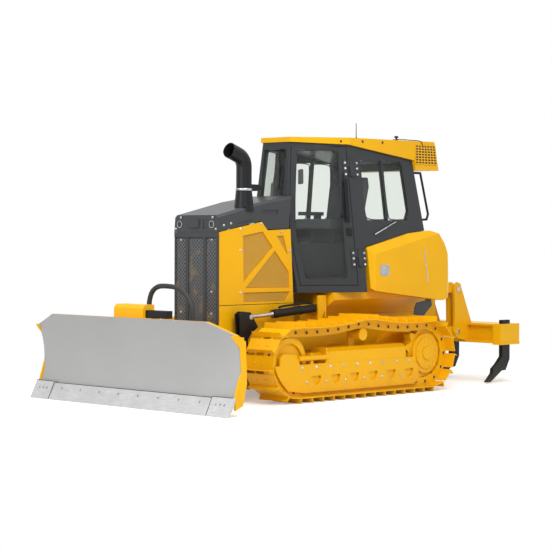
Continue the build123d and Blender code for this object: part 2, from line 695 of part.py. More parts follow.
rail_out = wall_half(cab_top - 275)
rail_low = wall_half(1870)
with BuildPart() as handrail:
    bar((-1238, rail_out - 18, cab_top - 275), (-1345, rail_out, cab_top - 275), 13)
    bar((-1345, rail_out, cab_top - 268), (-1412, rail_low, 1925), 13)
    bar((-1412, rail_low, 1932), (-1384, rail_low, 1868), 13)
    bar((-1392, rail_low, 1872), (-1300, rail_low - 14, 1866), 13)
    add(cab_body(-seam), mode=Mode.SUBTRACT)
save_both(handrail.part, "handrails")

# ---------------------------------------------------------------- operator's station
floor_line = tank_top_front + seam + cab_wall + seam
seat_z = 1760.0
with BuildPart() as seat:
    side_plate([(-330, floor_line + 6), (-700, floor_line + 6 + 370 * tank_slope), (-700, seat_z),
                (-330, seat_z)], 180, 360)
    side_plate([(-170, seat_z), (-690, seat_z), (-690, seat_z + 90), (-190, seat_z + 110)], 255, 510, 18)
    side_plate([(-640, seat_z + 70), (-740, seat_z + 80), (-840, 2230), (-820, 2330), (-750, 2330), (-700, 2220)],
               230, 460, 18)
    for span in both_sides(262, 322):
        block((-640, -290), span, (seat_z + 150, seat_z + 190))
        block((-600, -540), span, (floor_line + 50, seat_z + 150))
    for span in both_sides(180, 322):
        block((-600, -540), span, (floor_line + 90, floor_line + 130))
    add(cab_body(cab_wall + seam), mode=Mode.INTERSECT)
save(seat.part, "seat")
with BuildPart() as console:
    side_plate([(230, cab_floor + cab_wall + seam), (380, cab_floor + cab_wall + seam), (400, 1900),
                (330, 1960), (250, 1900)], 150, 300)
    add(cab_body(cab_wall + seam), mode=Mode.INTERSECT)
save(console.part, "console")

# ---------------------------------------------------------------- tank
tank_side = [(tank_front, tank_top_front), (-1029, 1715), (-1380, 1748), (-1500, 1716), (-1600, 1605), (-1658, 1490),
             (-1700, 1330), (tank_rear, 1150), (tank_rear + 13, 1013), (-1575, tank_low_rear),
             (tank_front - 98, tank_low_front), (tank_front - 40, tank_low_front + 30)]
with BuildPart() as tank:
    side_plate(tank_side, tank_half, 2 * tank_half)
    for side in (-1, 1):
        with BuildSketch(front_plane(tank_front + 100)) as bevel:
            with BuildLine():
                height = tank_top_front - 100 * tank_slope
                Polyline((side * (tank_half - tank_bevel[0]), height + 1), (side * (tank_half + 1), height - tank_bevel[1]),
                         (side * (tank_half + 1), height + 400), (side * (tank_half - tank_bevel[0]), height + 400),
                         close=True)
            make_face()
        extrude(bevel.sketch, amount=2000, dir=Vector(-1, 0, tank_slope), mode=Mode.SUBTRACT)
        plate(Plane.XY.offset(900), [(tank_front + 60, side * (tank_half - 70)), (tank_front - 100, side * (tank_half + 1)),
                                     (tank_front + 60, side * (tank_half + 1))], 900, mode=Mode.SUBTRACT)
        plate(Plane.XY.offset(900), [(tank_rear - 60, side * (tank_half - 80)), (tank_rear + 70, side * (tank_half + 1)),
                                     (tank_rear - 60, side * (tank_half + 1))], 900, mode=Mode.SUBTRACT)
        recess = both_sides(tank_half - tank_bevel[0] - 60, tank_half - tank_bevel[0] - 10)[0 if side > 0 else 1]
        block((-990, -850), recess, (1672, 1760), mode=Mode.SUBTRACT)
save(tank.part, "tank")

flap_y = 655.0
with BuildPart() as flap:
    side_plate([(-1165, 952), (-1300, 972), (-1392, 988), (-1412, 988), (-1426, 916), (-1276, 800), (-1122, 821),
                (-1129, 892)], flap_y, 12)
    block((-1410, -1380), (flap_y - 60, flap_y - 12), (940, 985))
save_both(flap.part, "drain_flaps")

# ---------------------------------------------------------------- blade frame
cross_back, cross_front = king_x - 345, king_x - 185
cheek = (arm_bottom, arm_bottom + 30), (arm_top - 20, arm_top + 10)
with BuildPart() as c_frame:
    for side in (-1, 1):
        y = side * arm_y
        block((lift_x, cross_front), (y - arm_width / 2, y + arm_width / 2), (arm_bottom, arm_top))
        axle(lift_x, lift_z, y - arm_width / 2, y + arm_width / 2, 70)
        axle(lift_x, lift_z, y - arm_width / 2, y + arm_width / 2, trunnion + fit, mode=Mode.SUBTRACT)
    block((cross_back, cross_front), (-arm_y, arm_y), (arm_bottom, arm_top))
    for low, high in cheek:
        block((cross_front - 90, king_x), (-90, 90), (low, high))
        with Locations((king_x, 0, (low + high) / 2)):
            Cylinder(90, high - low)
save(c_frame.part, "c_frame")

with BuildPart() as riser:
    for y in (arm_y - 22, arm_y + 38):
        side_plate([(lift_eye[0] + 40, arm_top), (lift_eye[0] + 145, arm_top), (lift_eye[0] + 148, 694),
                    (lift_eye[0] + 165, 895), (lift_eye[0] + 115, 922), (lift_eye[0] + 10, 912),
                    (lift_eye[0] - 100, 757), (lift_eye[0] - 11, 704), (lift_eye[0] + 46, 633)], y, 16)
save_both(riser.part, "lift_brackets")

yoke_rear = blade_tip - yoke_back
yoke_front = yoke_rear + yoke_deep
yoke_low, yoke_high = arm_bottom + 10, arm_top
tilt_x = (yoke_rear + yoke_front) / 2
tilt_base = (tilt_x, -190.0, 760.0)
tilt_eye = (tilt_x, 330.0, 760.0)
angle_base = (1450.0, 400.0, 600.0)
angle_eye = (tilt_x, angle_y, 600.0)
lug_low, lug_high = angle_eye[2] - lug_gap / 2, angle_eye[2] + lug_gap / 2
with BuildPart() as yoke:
    with Locations((king_x, 0, (cheek[0][1] + cheek[1][0]) / 2)):
        Cylinder(80, cheek[1][0] - cheek[0][1] - 2 * free)
    block((king_x, yoke_front - 10), (-60, 60), (cheek[0][1] + free, cheek[1][0] - free))
    block((yoke_rear, yoke_front), (-yoke_half, yoke_half), (yoke_low, yoke_high))
    for side in (-1, 1):
        y = side * angle_y
        for low, high in ((yoke_high, lug_low), (lug_high, lug_high + 24)):
            block((yoke_rear, yoke_front + 36), (y - 40, y + 40), (low, high))
        block((yoke_front + 22, yoke_front + 36), (y - 40, y + 40), (yoke_high, lug_high + 24))
    for x in ((yoke_rear, tilt_x - 26), (tilt_x + 26, yoke_front)):
        block(x, (tilt_base[1] - 40, tilt_base[1] + 40), (yoke_high, tilt_base[2] + 40))
    bar((yoke_front - 20, 0, tilt_z), (yoke_front + 60, 0, tilt_z), trunnion)
save(yoke.part, "blade_yoke")


def blade_section(front, back):
    """Side-view face of the blade between two depths behind its curved front."""
    low_z = edge_height - 60
    with BuildSketch(side_plane(blade_half)) as section:
        with BuildLine():
            ThreePointArc((blade_tip - 100 - front, low_z), (blade_tip - 178 - front, 470),
                          (blade_tip - 25 - front, blade_top))
            Line((blade_tip - 25 - front, blade_top), (blade_tip - 25 - back, blade_top))
            ThreePointArc((blade_tip - 25 - back, blade_top), (blade_tip - 178 - back, 470),
                          (blade_tip - 100 - back, low_z))
            Line((blade_tip - 100 - back, low_z), (blade_tip - 100 - front, low_z))
        make_face()
    return section.sketch


def trim_corners():
    """Cut the blade's sloping top corners."""
    for side in (-1, 1):
        plate(front_plane(blade_tip - 400), [(side * wing_half, blade_top + 1), (side * (blade_half + 12), wing_top - 4),
                                             (side * (blade_half + 12), blade_top + 1)], 500, mode=Mode.SUBTRACT)


with BuildPart() as blade:
    extrude(blade_section(0, mouldboard), amount=2 * blade_half)
    trim_corners()
save(blade.part, "blade")

end_line = [(blade_tip - 112, 60), (blade_tip - 112, 190), (blade_tip - 190, 420), (blade_tip - 170, 640),
            (blade_tip - 66, wing_top), (blade_tip - 150, wing_top), (blade_tip - 246, 700), (blade_tip - 262, 300),
            (blade_tip - 210, 100)]
with BuildPart() as blade_back:
    extrude(blade_section(mouldboard, mouldboard + 40), amount=2 * blade_half)
    for y, width in ((blade_half + 8, 22), (14 - blade_half, 22)):
        side_plate(end_line, y, width)
    block((yoke_front + 44, blade_tip - 200), (-blade_half + 10, blade_half - 10), (660, 740))
    block((blade_tip - 250, blade_tip - 160), (-blade_half + 10, blade_half - 10), (150, 250))
    for y in (-1000, -620, 620, 1000):
        side_plate([(blade_tip - 190, 160), (blade_tip - 190, 730), (blade_tip - 250, 700), (blade_tip - 250, 200)],
                   y + 10, 20)
    block((yoke_front + 15, blade_tip - 203), (-140, 140), (yoke_low, yoke_high + 10))
    block((tilt_x + 26, blade_tip - 203), (tilt_eye[1] - 40, tilt_eye[1] + 40), (tilt_eye[2] - 40, tilt_eye[2] + 40))
    block((blade_tip - 238, blade_tip - 80), (-280, 280), (840, blade_top))
    trim_corners()
    bar((yoke_front + 10, 0, tilt_z), (yoke_front + 62, 0, tilt_z), trunnion + fit, mode=Mode.SUBTRACT)
    add(blade.part, mode=Mode.SUBTRACT)
save(blade_back.part, "blade_back")

with BuildPart() as cutting_edge:
    for span in (*both_sides(blade_half - end_bit, blade_half + 10), (end_bit - blade_half + 3, blade_half - end_bit - 3)):
        proud = 6 if abs(span[0] + span[1]) > 1 else 0
        side_plate([(blade_tip, 3), (blade_tip - 96 + proud, edge_height + 2 * proud), (blade_tip - 111, edge_height + 2 * proud),
                    (blade_tip - 100, edge_height - 60), (blade_tip - 20, 3)],
                   span[1], span[1] - span[0])
    add(blade.part, mode=Mode.SUBTRACT)
    add(blade_back.part, mode=Mode.SUBTRACT)
save(cutting_edge.part, "cutting_edge")

guard_left, guard_long = 195.0, 436.0
with BuildPart() as blade_guard:
    side_plate([(blade_tip - 236, blade_top + seam), (blade_tip - 88, blade_top + seam), (blade_tip - 88, 975),
                (blade_tip - 120, 1010), (blade_tip - 236, 1010)], guard_left, guard_long)
save(blade_guard.part, "blade_guard")
with BuildPart() as hose_bracket:
    block((blade_tip - 200, blade_tip - 120), (guard_left + seam, 500), (blade_top + seam, 958))
save(hose_bracket.part, "hose_bracket")


# ---------------------------------------------------------------- hydraulic rams
def ram(base, eye, pin_axis, barrel, rod, shares, eye_width, neck):
    """Barrel and rod between two pins: the rod runs in the barrel's bore."""
    base, eye, pin = Vector(*base), Vector(*eye), Vector(*pin_axis)
    way = (eye - base).normalized()
    length, rod_length = ((eye - base).length * share for share in shares)
    with BuildPart() as outer:
        bar(tuple(base + way * neck), tuple(base + way * length), barrel)
        bar(tuple(base), tuple(base + way * (neck + 1)), eye_width / 2 - 1)
        bar(tuple(base - pin * (eye_width / 2)), tuple(base + pin * (eye_width / 2)), barrel * 0.95)
        bar(tuple(base + way * (neck + 10)), tuple(base + way * (length + 1)), rod + 0.5, mode=Mode.SUBTRACT)
    with BuildPart() as inner:
        bar(tuple(eye - way * rod_length), tuple(eye), rod)
        bar(tuple(eye - pin * (eye_width / 2)), tuple(eye + pin * (eye_width / 2)), rod * 1.7)
    return outer.part, inner.part


across, upright, forward = (0, 1, 0), (0, 0, 1), (1, 0, 0)
high_pin = (link_high[0] - link_reach, link_high[1])
low_pin = (link_low[0] - link_reach, link_low[1])
rams = (  # name, base pin, rod pin, pin axis, barrel and rod radius, shares of the reach, eye width, neck
    ("lift", (lift_base[0], arm_y, lift_base[1]), (lift_eye[0], arm_y, lift_eye[1]), across,
     44, 22, (0.666, 0.676), 32, 72),
    ("angle", angle_base, angle_eye, upright, 42, 22, (0.6476, 0.64), 50, 56))
for name, base, eye, pin, barrel, rod, shares, eye_width, neck in rams:
    outer, inner = ram(base, eye, pin, barrel, rod, shares, eye_width, neck)
    save_pair(outer, f"{name}_barrel")
    save_pair(inner, f"{name}_rod")
outer, inner = ram(tilt_base, tilt_eye, forward, 40, 20, (0.673, 0.577), 40, 52)
save(outer, "tilt_barrel")
save(inner, "tilt_rod")
outer, inner = ram((-1785, 0, 660), (high_pin[0], 0, high_pin[1]), across, 50, 25, (0.655, 0.646), 60, 76)
save(outer, "ripper_barrel")
save(inner, "ripper_rod")

with BuildPart() as angle_mount:
    x, y, z = angle_base
    for span in ((arm_top, z - lug_gap / 2), (z + lug_gap / 2, z + lug_gap / 2 + 24)):
        block((x - 60, x + 50), (y - 8, y + 68), span)
    for span in ((z - lug_gap / 2 - 24, z - lug_gap / 2), (z + lug_gap / 2, z + lug_gap / 2 + 24)):
        block((x - 60, x + 50), (y - 45, y + 68), span)
    block((x - 80, x - 60), (y - 45, y + 68), (arm_top, z + lug_gap / 2 + 24))
save_both(angle_mount.part, "angle_mounts")

# ---------------------------------------------------------------- ripper
outer_plate, inner_plate = (270, 300), (170, 200)
link_y = (206, 264)
cheeks = (*both_sides(*outer_plate), *both_sides(*inner_plate))
with BuildPart() as rear_bracket:
    for span in cheeks:
        side_plate([(hull_rear - 20, 520), (hull_rear - 20, 958), (-1790, 955), (-1790, 1135), (-1910, 1135),
                    (-1925, 520)], span[1], 30)
    block((hull_rear - 35, hull_rear - seam), (-300, 300), (520, 940))
    for span in both_sides(37, 60):
        side_plate([(hull_rear - 30, 580), (hull_rear - 30, 760), (-1765, 740), (-1845, 690), (-1845, 630),
                    (-1765, 580)], span[1], 23)
save(rear_bracket.part, "ripper_bracket")

with BuildPart() as lower_link:
    for span in both_sides(*link_y):
        slot_end(low_pin, link_low, 60, span[1], span[1] - span[0])
    axle((low_pin[0] + link_low[0]) / 2, 620, -210, 210, 70)
save(lower_link.part, "ripper_lower_link")

with BuildPart() as upper_links:
    for span in both_sides(*link_y):
        slot_end(high_pin, link_high, 42, span[1], span[1] - span[0])
save(upper_links.part, "ripper_upper_links")

shank_x = beam_front - 148
with BuildPart() as carrier_frame:
    for span in cheeks:
        side_plate([(high_pin[0] + 70, 1060), (high_pin[0] + 54, 1125), (high_pin[0] + 9, 1152),
                    (high_pin[0] - 41, 1132), (high_pin[0] - 66, 1075), (beam_front - 96, beam_top + 5),
                    (beam_front - 96, beam_bottom + 2), (low_pin[0], 500), (low_pin[0] + 69, low_pin[1]),
                    (low_pin[0] + 59, 700)], span[1], 30)
    block((beam_front, beam_rear), (-ripper_half, ripper_half), (beam_bottom, beam_top))
    for span in both_sides(inner_plate[0] + 1, 40):
        axle(high_pin[0], high_pin[1], span[0], span[1], 45)
    for span in both_sides(outer_plate[1] + 12, shank_y - 56):
        block((beam_front - 48, beam_front + 1), span, (beam_bottom + 34, beam_top - 24), mode=Mode.SUBTRACT)
    for span in both_sides(shank_y - 50, ripper_half + 8):
        block((beam_rear + 4, beam_front + 8), span, (beam_bottom - 14, beam_bottom + 12))
    for y in (-shank_y, 0, shank_y):
        block((shank_x - 73, shank_x + 74), (y - 26, y + 26), (beam_bottom - 20, beam_top + 1), mode=Mode.SUBTRACT)
save(carrier_frame.part, "ripper_frame")

with BuildPart() as shanks:
    for y in (-shank_y, 0, shank_y):
        side_plate([(shank_x + 70, beam_top + 45), (shank_x - 69, beam_top + 45), (shank_x - 69, 265),
                    (shank_x + 3, 140), (shank_x + 77, 137), (shank_x + 288, 14), (shank_x + 354, 14),
                    (shank_x + 243, 112), (shank_x + 234, 165), (shank_x + 151, 222), (shank_x + 70, 300)],
                   y + shank_thick / 2, shank_thick)
save(shanks.part, "ripper_shanks")
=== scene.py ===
# %% [markdown]
# # Dressing a crawler dozer
# The steel shapes of the machine come from a CAD model: blade, frames, tracks, cab, ripper. This lesson
# gives them paint, glass, rubber and bare metal, adds the small pieces that a drawing office leaves to
# the workshop (bolts, hoses, lamps, wipers, seals), and sets up a plain studio around the machine.
# Everything is in metres. +X points forward to the blade, +Y to the driver's left and +Z up.

# %% Load the frame
import math

import bmesh
import bpy
from mathutils import Euler, Matrix, Vector


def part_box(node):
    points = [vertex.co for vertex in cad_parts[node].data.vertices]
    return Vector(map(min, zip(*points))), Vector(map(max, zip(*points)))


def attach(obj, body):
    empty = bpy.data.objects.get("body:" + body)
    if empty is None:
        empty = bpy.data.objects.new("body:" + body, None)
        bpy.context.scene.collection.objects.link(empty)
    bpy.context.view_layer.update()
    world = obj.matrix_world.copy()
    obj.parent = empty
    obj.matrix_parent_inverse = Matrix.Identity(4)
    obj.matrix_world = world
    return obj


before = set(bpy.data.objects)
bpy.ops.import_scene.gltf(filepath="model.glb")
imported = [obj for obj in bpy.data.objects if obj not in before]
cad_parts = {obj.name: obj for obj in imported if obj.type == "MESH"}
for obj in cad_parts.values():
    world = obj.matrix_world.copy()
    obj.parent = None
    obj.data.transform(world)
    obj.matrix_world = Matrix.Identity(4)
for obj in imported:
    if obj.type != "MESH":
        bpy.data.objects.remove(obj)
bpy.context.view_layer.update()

# %% [markdown]
# ## The camera
# A long lens from far away keeps the machine's sides nearly parallel, as a catalogue picture does. The
# camera stands ahead of the machine and to its left, at about eye height, and looks a little down. We
# build its placement from a heading, a tilt and a slight roll, which are easier to read than a matrix.

# %% Place the camera
camera_data = bpy.data.cameras.new("camera")
camera = bpy.data.objects.new("camera", camera_data)
bpy.context.scene.collection.objects.link(camera)
camera_place = Vector((14.289, 13.456, 1.728))
heading, tilt, roll = math.radians(134.39), math.radians(-1.40), math.radians(0.18)
aim = Euler((math.pi / 2 + tilt, 0, heading)).to_matrix().to_4x4()
camera.matrix_world = Matrix.Translation(camera_place) @ aim @ Matrix.Rotation(roll, 4, "Z")
camera_data.sensor_width = 36
camera_data.lens = 117.8
camera_data.clip_end = 200
bpy.context.scene.camera = camera
print("camera", tuple(round(v, 2) for v in camera_place), "lens", camera_data.lens, "mm")

# %% [markdown]
# ## Helpers for materials
# Paint charts and colour pickers give sRGB hex values, but shaders add light in linear values, so one
# function converts. A second one adds a shader node with its settings and links, so that a material
# reads as a short list of what feeds what. A third turns the size of a pattern, in millimetres, into the
# scale that its node wants, and the last starts a material whose patterns go by the place in the room.

# %% Colour and node helpers
def paint(code, alpha=1.0):
    """sRGB hex code to the linear colour that a shader takes."""
    parts = [int(code[i:i + 2], 16) / 255 for i in (1, 3, 5)]
    linear = [p / 12.92 if p <= 0.04045 else ((p + 0.055) / 1.055) ** 2.4 for p in parts]
    return (*linear, alpha)


def add_node(tree, kind, settings=None, links=None):
    """Add a shader node. settings are its own options or its sockets' values, links feed its sockets."""
    node = tree.nodes.new(kind)
    for name, value in (settings or {}).items():
        if isinstance(name, int) or name in node.inputs:
            node.inputs[name].default_value = value
        else:
            setattr(node, name, value)
    for name, source in (links or {}).items():
        tree.links.new(source, node.inputs[name])
    return node


def across(millimetres):
    """The scale that makes a pattern's features this many millimetres across."""
    return 1000 / millimetres


def blank_material(name):
    """A material without nodes, its tree, and the output that tells a point's place in metres."""
    material = bpy.data.materials.new(name)
    material.use_nodes = True
    tree = material.node_tree
    tree.nodes.clear()
    return material, tree, add_node(tree, "ShaderNodeNewGeometry").outputs["Position"]


print("bright yellow is", [round(v, 3) for v in paint("#F5BC1B")])

# %% [markdown]
# ## Painted steel
# A new machine is sprayed with a thick acrylic enamel. The film is smooth and glossy, with a faint orange
# peel, and road dust settles on it low down. We could paint dust by hand, but a noise pattern multiplied
# by the height above the ground does the same for every piece at once and needs no unwrapping. Real
# orange peel is 1 to 2 mm across, too fine to show here, so it is drawn 4 mm across.

# %% Enamel paint
dust_mm, shade_mm, peel_mm = 160, 600, 4


def enamel(name, base, dusty, roughness, dust_top):
    """Sprayed enamel: base colour, a dusty tint that fades out at dust_top metres, and orange peel."""
    material, tree, place = blank_material(name)
    height = add_node(tree, "ShaderNodeSeparateXYZ", links={"Vector": place}).outputs["Z"]
    low = add_node(tree, "ShaderNodeMapRange", {"From Min": 0.0, "From Max": dust_top, "To Min": 0.45,
                                                "To Max": 0.0}, {"Value": height}).outputs["Result"]
    cloud = add_node(tree, "ShaderNodeTexNoise", {"Scale": across(dust_mm), "Detail": 6.0, "Roughness": 0.62},
                     {"Vector": place}).outputs["Fac"]
    patchy = add_node(tree, "ShaderNodeMapRange", {"From Min": 0.42, "From Max": 0.72},
                      {"Value": cloud}).outputs["Result"]
    dust = add_node(tree, "ShaderNodeMath", {"operation": "MULTIPLY"}, {0: low, 1: patchy}).outputs[0]
    broad = add_node(tree, "ShaderNodeTexNoise", {"Scale": across(shade_mm), "Detail": 2.0},
                     {"Vector": place}).outputs["Fac"]
    shade = add_node(tree, "ShaderNodeMapRange",
                     {"From Min": 0.3, "From Max": 0.7, "To Min": 0.94, "To Max": 1.0},
                     {"Value": broad}).outputs["Result"]
    tone = add_node(tree, "ShaderNodeMix", {"data_type": "RGBA", "blend_type": "MULTIPLY", "Factor": 1.0,
                                            6: paint(base)}, {7: shade}).outputs[2]
    colour = add_node(tree, "ShaderNodeMix", {"data_type": "RGBA", 7: paint(dusty)},
                      {"Factor": dust, 6: tone}).outputs[2]
    dull = add_node(tree, "ShaderNodeMapRange", {"To Min": roughness, "To Max": 0.75},
                    {"Value": dust}).outputs["Result"]
    skin = add_node(tree, "ShaderNodeTexNoise", {"Scale": across(peel_mm), "Detail": 1.0},
                    {"Vector": place}).outputs["Fac"]
    bump = add_node(tree, "ShaderNodeBump", {"Strength": 0.15, "Distance": 0.0004},
                    {"Height": skin}).outputs[0]
    shader = add_node(tree, "ShaderNodeBsdfPrincipled",
                      {"IOR": 1.5, "Specular IOR Level": 0.16, "Coat Weight": 0.06, "Coat Roughness": 0.12},
                      {"Base Color": colour, "Roughness": dull, "Normal": bump})
    add_node(tree, "ShaderNodeOutputMaterial", links={"Surface": shader.outputs[0]})
    return material


# Yellow acrylic enamel on most of the steel: a deep warm yellow with soft highlights, paler with dust.
yellow = enamel("yellow enamel", "#F0B30C", "#C79C33", 0.34, 0.45)
# Dark grey enamel on the hood, which keeps glare from the driver: its top catches a broad pale sheen.
dark_grey = enamel("dark grey enamel", "#434547", "#6F6A60", 0.36, 0.5)
# The cab's frame has a darker grey, so that posts and doors read as one dark cage round the glass.
cab_grey = enamel("cab grey enamel", "#37393B", "#6F6A60", 0.36, 0.5)
# Black enamel on rams, brackets and ripper shanks: nearly no colour, only soft edges of light.
black = enamel("black enamel", "#1D1E20", "#5C564C", 0.36, 0.5)
# Pale grey paint on the new blade, flatter than the rest: an even, light face with hardly a highlight.
primer = enamel("pale grey blade paint", "#ABAAA9", "#9C9A96", 0.45, 0.35)
print("enamels", [m.name for m in (yellow, dark_grey, cab_grey, black, primer)])

# %% [markdown]
# ## Bare and plated metal
# The cutting edge is rolled steel, ground bright along its length. The rams' rods are hard chromed and
# polished, and bolts are plated with zinc. A brushed texture could be an image, but a noise that is
# stretched along the machine's width gives grinding lines of any length. Real lines are a fraction of a
# millimetre apart, too fine to show here, so they are drawn about 9 mm apart.

# %% Rolled steel and hard chrome
stain_mm = 200
even, along_width = (1, 1, 1), (1, 0.08, 1)


def bare_metal(name, base, dark, roughness, stretch, grain_mm):
    """Metal with lines drawn out by stretch, grain_mm apart."""
    material, tree, place = blank_material(name)
    drawn = add_node(tree, "ShaderNodeMapping", {"Scale": stretch}, {"Vector": place}).outputs[0]
    lines = add_node(tree, "ShaderNodeTexNoise", {"Scale": across(grain_mm), "Detail": 3.0},
                     {"Vector": drawn}).outputs["Fac"]
    patches = add_node(tree, "ShaderNodeTexNoise", {"Scale": across(stain_mm), "Detail": 5.0},
                       {"Vector": place}).outputs["Fac"]
    mixed = add_node(tree, "ShaderNodeMath", {"operation": "MULTIPLY"}, {0: lines, 1: patches}).outputs[0]
    amount = add_node(tree, "ShaderNodeMapRange", {"From Min": 0.15, "From Max": 0.4},
                      {"Value": mixed}).outputs["Result"]
    colour = add_node(tree, "ShaderNodeMix", {"data_type": "RGBA", 6: paint(dark), 7: paint(base)},
                      {"Factor": amount}).outputs[2]
    rough = add_node(tree, "ShaderNodeMapRange", {"To Min": roughness + 0.12, "To Max": roughness},
                     {"Value": amount}).outputs["Result"]
    bump = add_node(tree, "ShaderNodeBump", {"Strength": 0.1, "Distance": 0.0003},
                    {"Height": lines}).outputs[0]
    shader = add_node(tree, "ShaderNodeBsdfPrincipled", {"Metallic": 1.0},
                      {"Base Color": colour, "Roughness": rough, "Normal": bump})
    add_node(tree, "ShaderNodeOutputMaterial", links={"Surface": shader.outputs[0]})
    return material


# Rolled and ground carbon steel of the cutting edge: a pale, streaky, rather matt shine.
rolled_steel = bare_metal("rolled steel", "#CDCDCD", "#BEBEBE", 0.55, along_width, 9)
# Forged steel of the plough bolts, dulled by handling: small dark spots on the bright edge.
worn_bolt = bare_metal("worn bolt steel", "#AEAFB0", "#8B8C8E", 0.5, even, 12)
# Zinc plate on bolts, clamps and caps: bright points with a faint spangle.
zinc = bare_metal("zinc plate", "#D5D7D8", "#A5A8AA", 0.3, even, 12)
# Hard chrome on the rams' rods, ground and polished: one sharp bright line along each rod.
hard_chrome = bare_metal("hard chrome", "#D8DADC", "#B9BBBE", 0.12, even, 30)
print("metals", [m.name for m in (rolled_steel, worn_bolt, zinc, hard_chrome)])

# %% [markdown]
# ## Cab glass
# The cab's windows are flat laminated glass, lightly tinted. A full glass shader bends light through
# every pane and is slow and noisy, so we mix a clear layer with a glossy one whose pale grey base is a
# painted reflection of the bright room, and whose roughness carries wiping marks. The glossy layer's
# share grows where a pane turns away from the eye, as a real reflection does.

# %% Glass
smear_mm = 320


def cab_glass(name, tint):
    """Tinted glass, thin enough to see the cab's inside through it, with wiping marks in its gloss."""
    material, tree, place = blank_material(name)
    smear = add_node(tree, "ShaderNodeTexNoise", {"Scale": across(smear_mm), "Detail": 4.0},
                     {"Vector": place}).outputs["Fac"]
    rough = add_node(tree, "ShaderNodeMapRange", {"To Min": 0.02, "To Max": 0.09},
                     {"Value": smear}).outputs["Result"]
    clear = add_node(tree, "ShaderNodeBsdfTransparent", {"Color": paint(tint)}).outputs[0]
    # Its pale grey base colour is a painted reflection of the bright room, mixed in more as the pane turns
    # away.
    gloss_and_painted_reflection = add_node(tree, "ShaderNodeBsdfPrincipled", {"Base Color": paint("#A6A9A8"), "IOR": 1.5},
                     {"Roughness": rough}).outputs[0]
    facing = add_node(tree, "ShaderNodeLayerWeight").outputs["Facing"]
    edge = add_node(tree, "ShaderNodeMath", {"operation": "POWER", 1: 4.0}, {0: facing}).outputs[0]
    share = add_node(tree, "ShaderNodeMapRange", {"To Min": 0.04, "To Max": 0.8},
                     {"Value": edge}).outputs["Result"]
    mixed = add_node(tree, "ShaderNodeMixShader", links={0: share, 1: clear, 2: gloss_and_painted_reflection}).outputs[0]
    add_node(tree, "ShaderNodeOutputMaterial", links={"Surface": mixed})
    return material


# Laminated float glass with a trace of green: clear face on, and a pale veil of painted reflection where it
# turns away.
laminated_glass = cab_glass("laminated glass", "#FBFDFB")
print("glass", laminated_glass.name)

# %% [markdown]
# ## Rubber, plastic, iron and cloth
# Hoses and seals are black nitrile rubber, the console is moulded ABS with a leather grain, the engine is
# sand-cast iron and the seat is woven polyester. All are dull, and differ in colour, in how dull, and in
# the size of their grain. A cell pattern as a bump gives each its grain, without a single extra face. All
# grains are drawn a few times their real size, which is about 1 mm and too fine to show from this far.

# %% Rubber, plastic, iron and cloth
wear_mm = 125


def dull_skin(name, base, other, roughness, grain_mm, depth):
    """A dull skin, shaded as a non-metal, with a grain of the given size and depth in millimetres."""
    material, tree, place = blank_material(name)
    patches = add_node(tree, "ShaderNodeTexNoise", {"Scale": across(wear_mm), "Detail": 5.0},
                       {"Vector": place}).outputs["Fac"]
    colour = add_node(tree, "ShaderNodeMix", {"data_type": "RGBA", 6: paint(base), 7: paint(other)},
                      {"Factor": patches}).outputs[2]
    cells = add_node(tree, "ShaderNodeTexVoronoi", {"Scale": across(grain_mm)},
                     {"Vector": place}).outputs["Distance"]
    bump = add_node(tree, "ShaderNodeBump", {"Strength": 0.5, "Distance": depth / 1000},
                    {"Height": cells}).outputs[0]
    rough = add_node(tree, "ShaderNodeMapRange", {"To Min": roughness, "To Max": roughness + 0.15},
                     {"Value": patches}).outputs["Result"]
    shader = add_node(tree, "ShaderNodeBsdfPrincipled", {"IOR": 1.5},
                      {"Base Color": colour, "Roughness": rough, "Normal": bump})
    add_node(tree, "ShaderNodeOutputMaterial", links={"Surface": shader.outputs[0]})
    return material


# Nitrile rubber, extruded: deep black, with a soft grey bloom where it bends to the light.
nitrile_rubber = dull_skin("nitrile rubber", "#151515", "#242322", 0.5, 2.5, 0.1)
# ABS, injection moulded in an etched tool: dark grey with a low, even shine.
moulded_abs = dull_skin("moulded ABS", "#4E5053", "#5A5C5F", 0.45, 3.0, 0.15)
# Cast iron from a sand mould, oiled and left bare: brown-black and rough, its metal shine lost in the oil.
cast_iron = dull_skin("cast iron", "#2B2A29", "#3C3935", 0.6, 4.0, 0.3)
# Woven polyester: a flat dark grey that shows its threads and no shine at all.
woven_polyester = dull_skin("woven polyester", "#46474C", "#525359", 0.85, 4.0, 0.6)
print("skins", [m.name for m in (nitrile_rubber, moulded_abs, cast_iron, woven_polyester)])

# %% [markdown]
# ## Perforated sheet
# The radiator breathes through punched steel, and the engine's panels carry finer mesh. Real holes by the
# thousand would cost far more triangles than they show, so a regular cell pattern draws them: a point
# near the middle of its cell is hole, the rest is painted sheet. The holes are painted dark, as painted
# shade of the space behind the sheet, with painted glimpses of lit yellow parts in noise patches. The real
# holes are about 10 mm apart in the radiator's sheet and 3 mm in the panels' mesh. Drawn so fine they
# would blur to a flat tone, so they are 30 mm and 5 mm apart here.

# %% Punched steel
rim, glimpse_mm = 0.04, 140
along_x, along_y = 0, 1


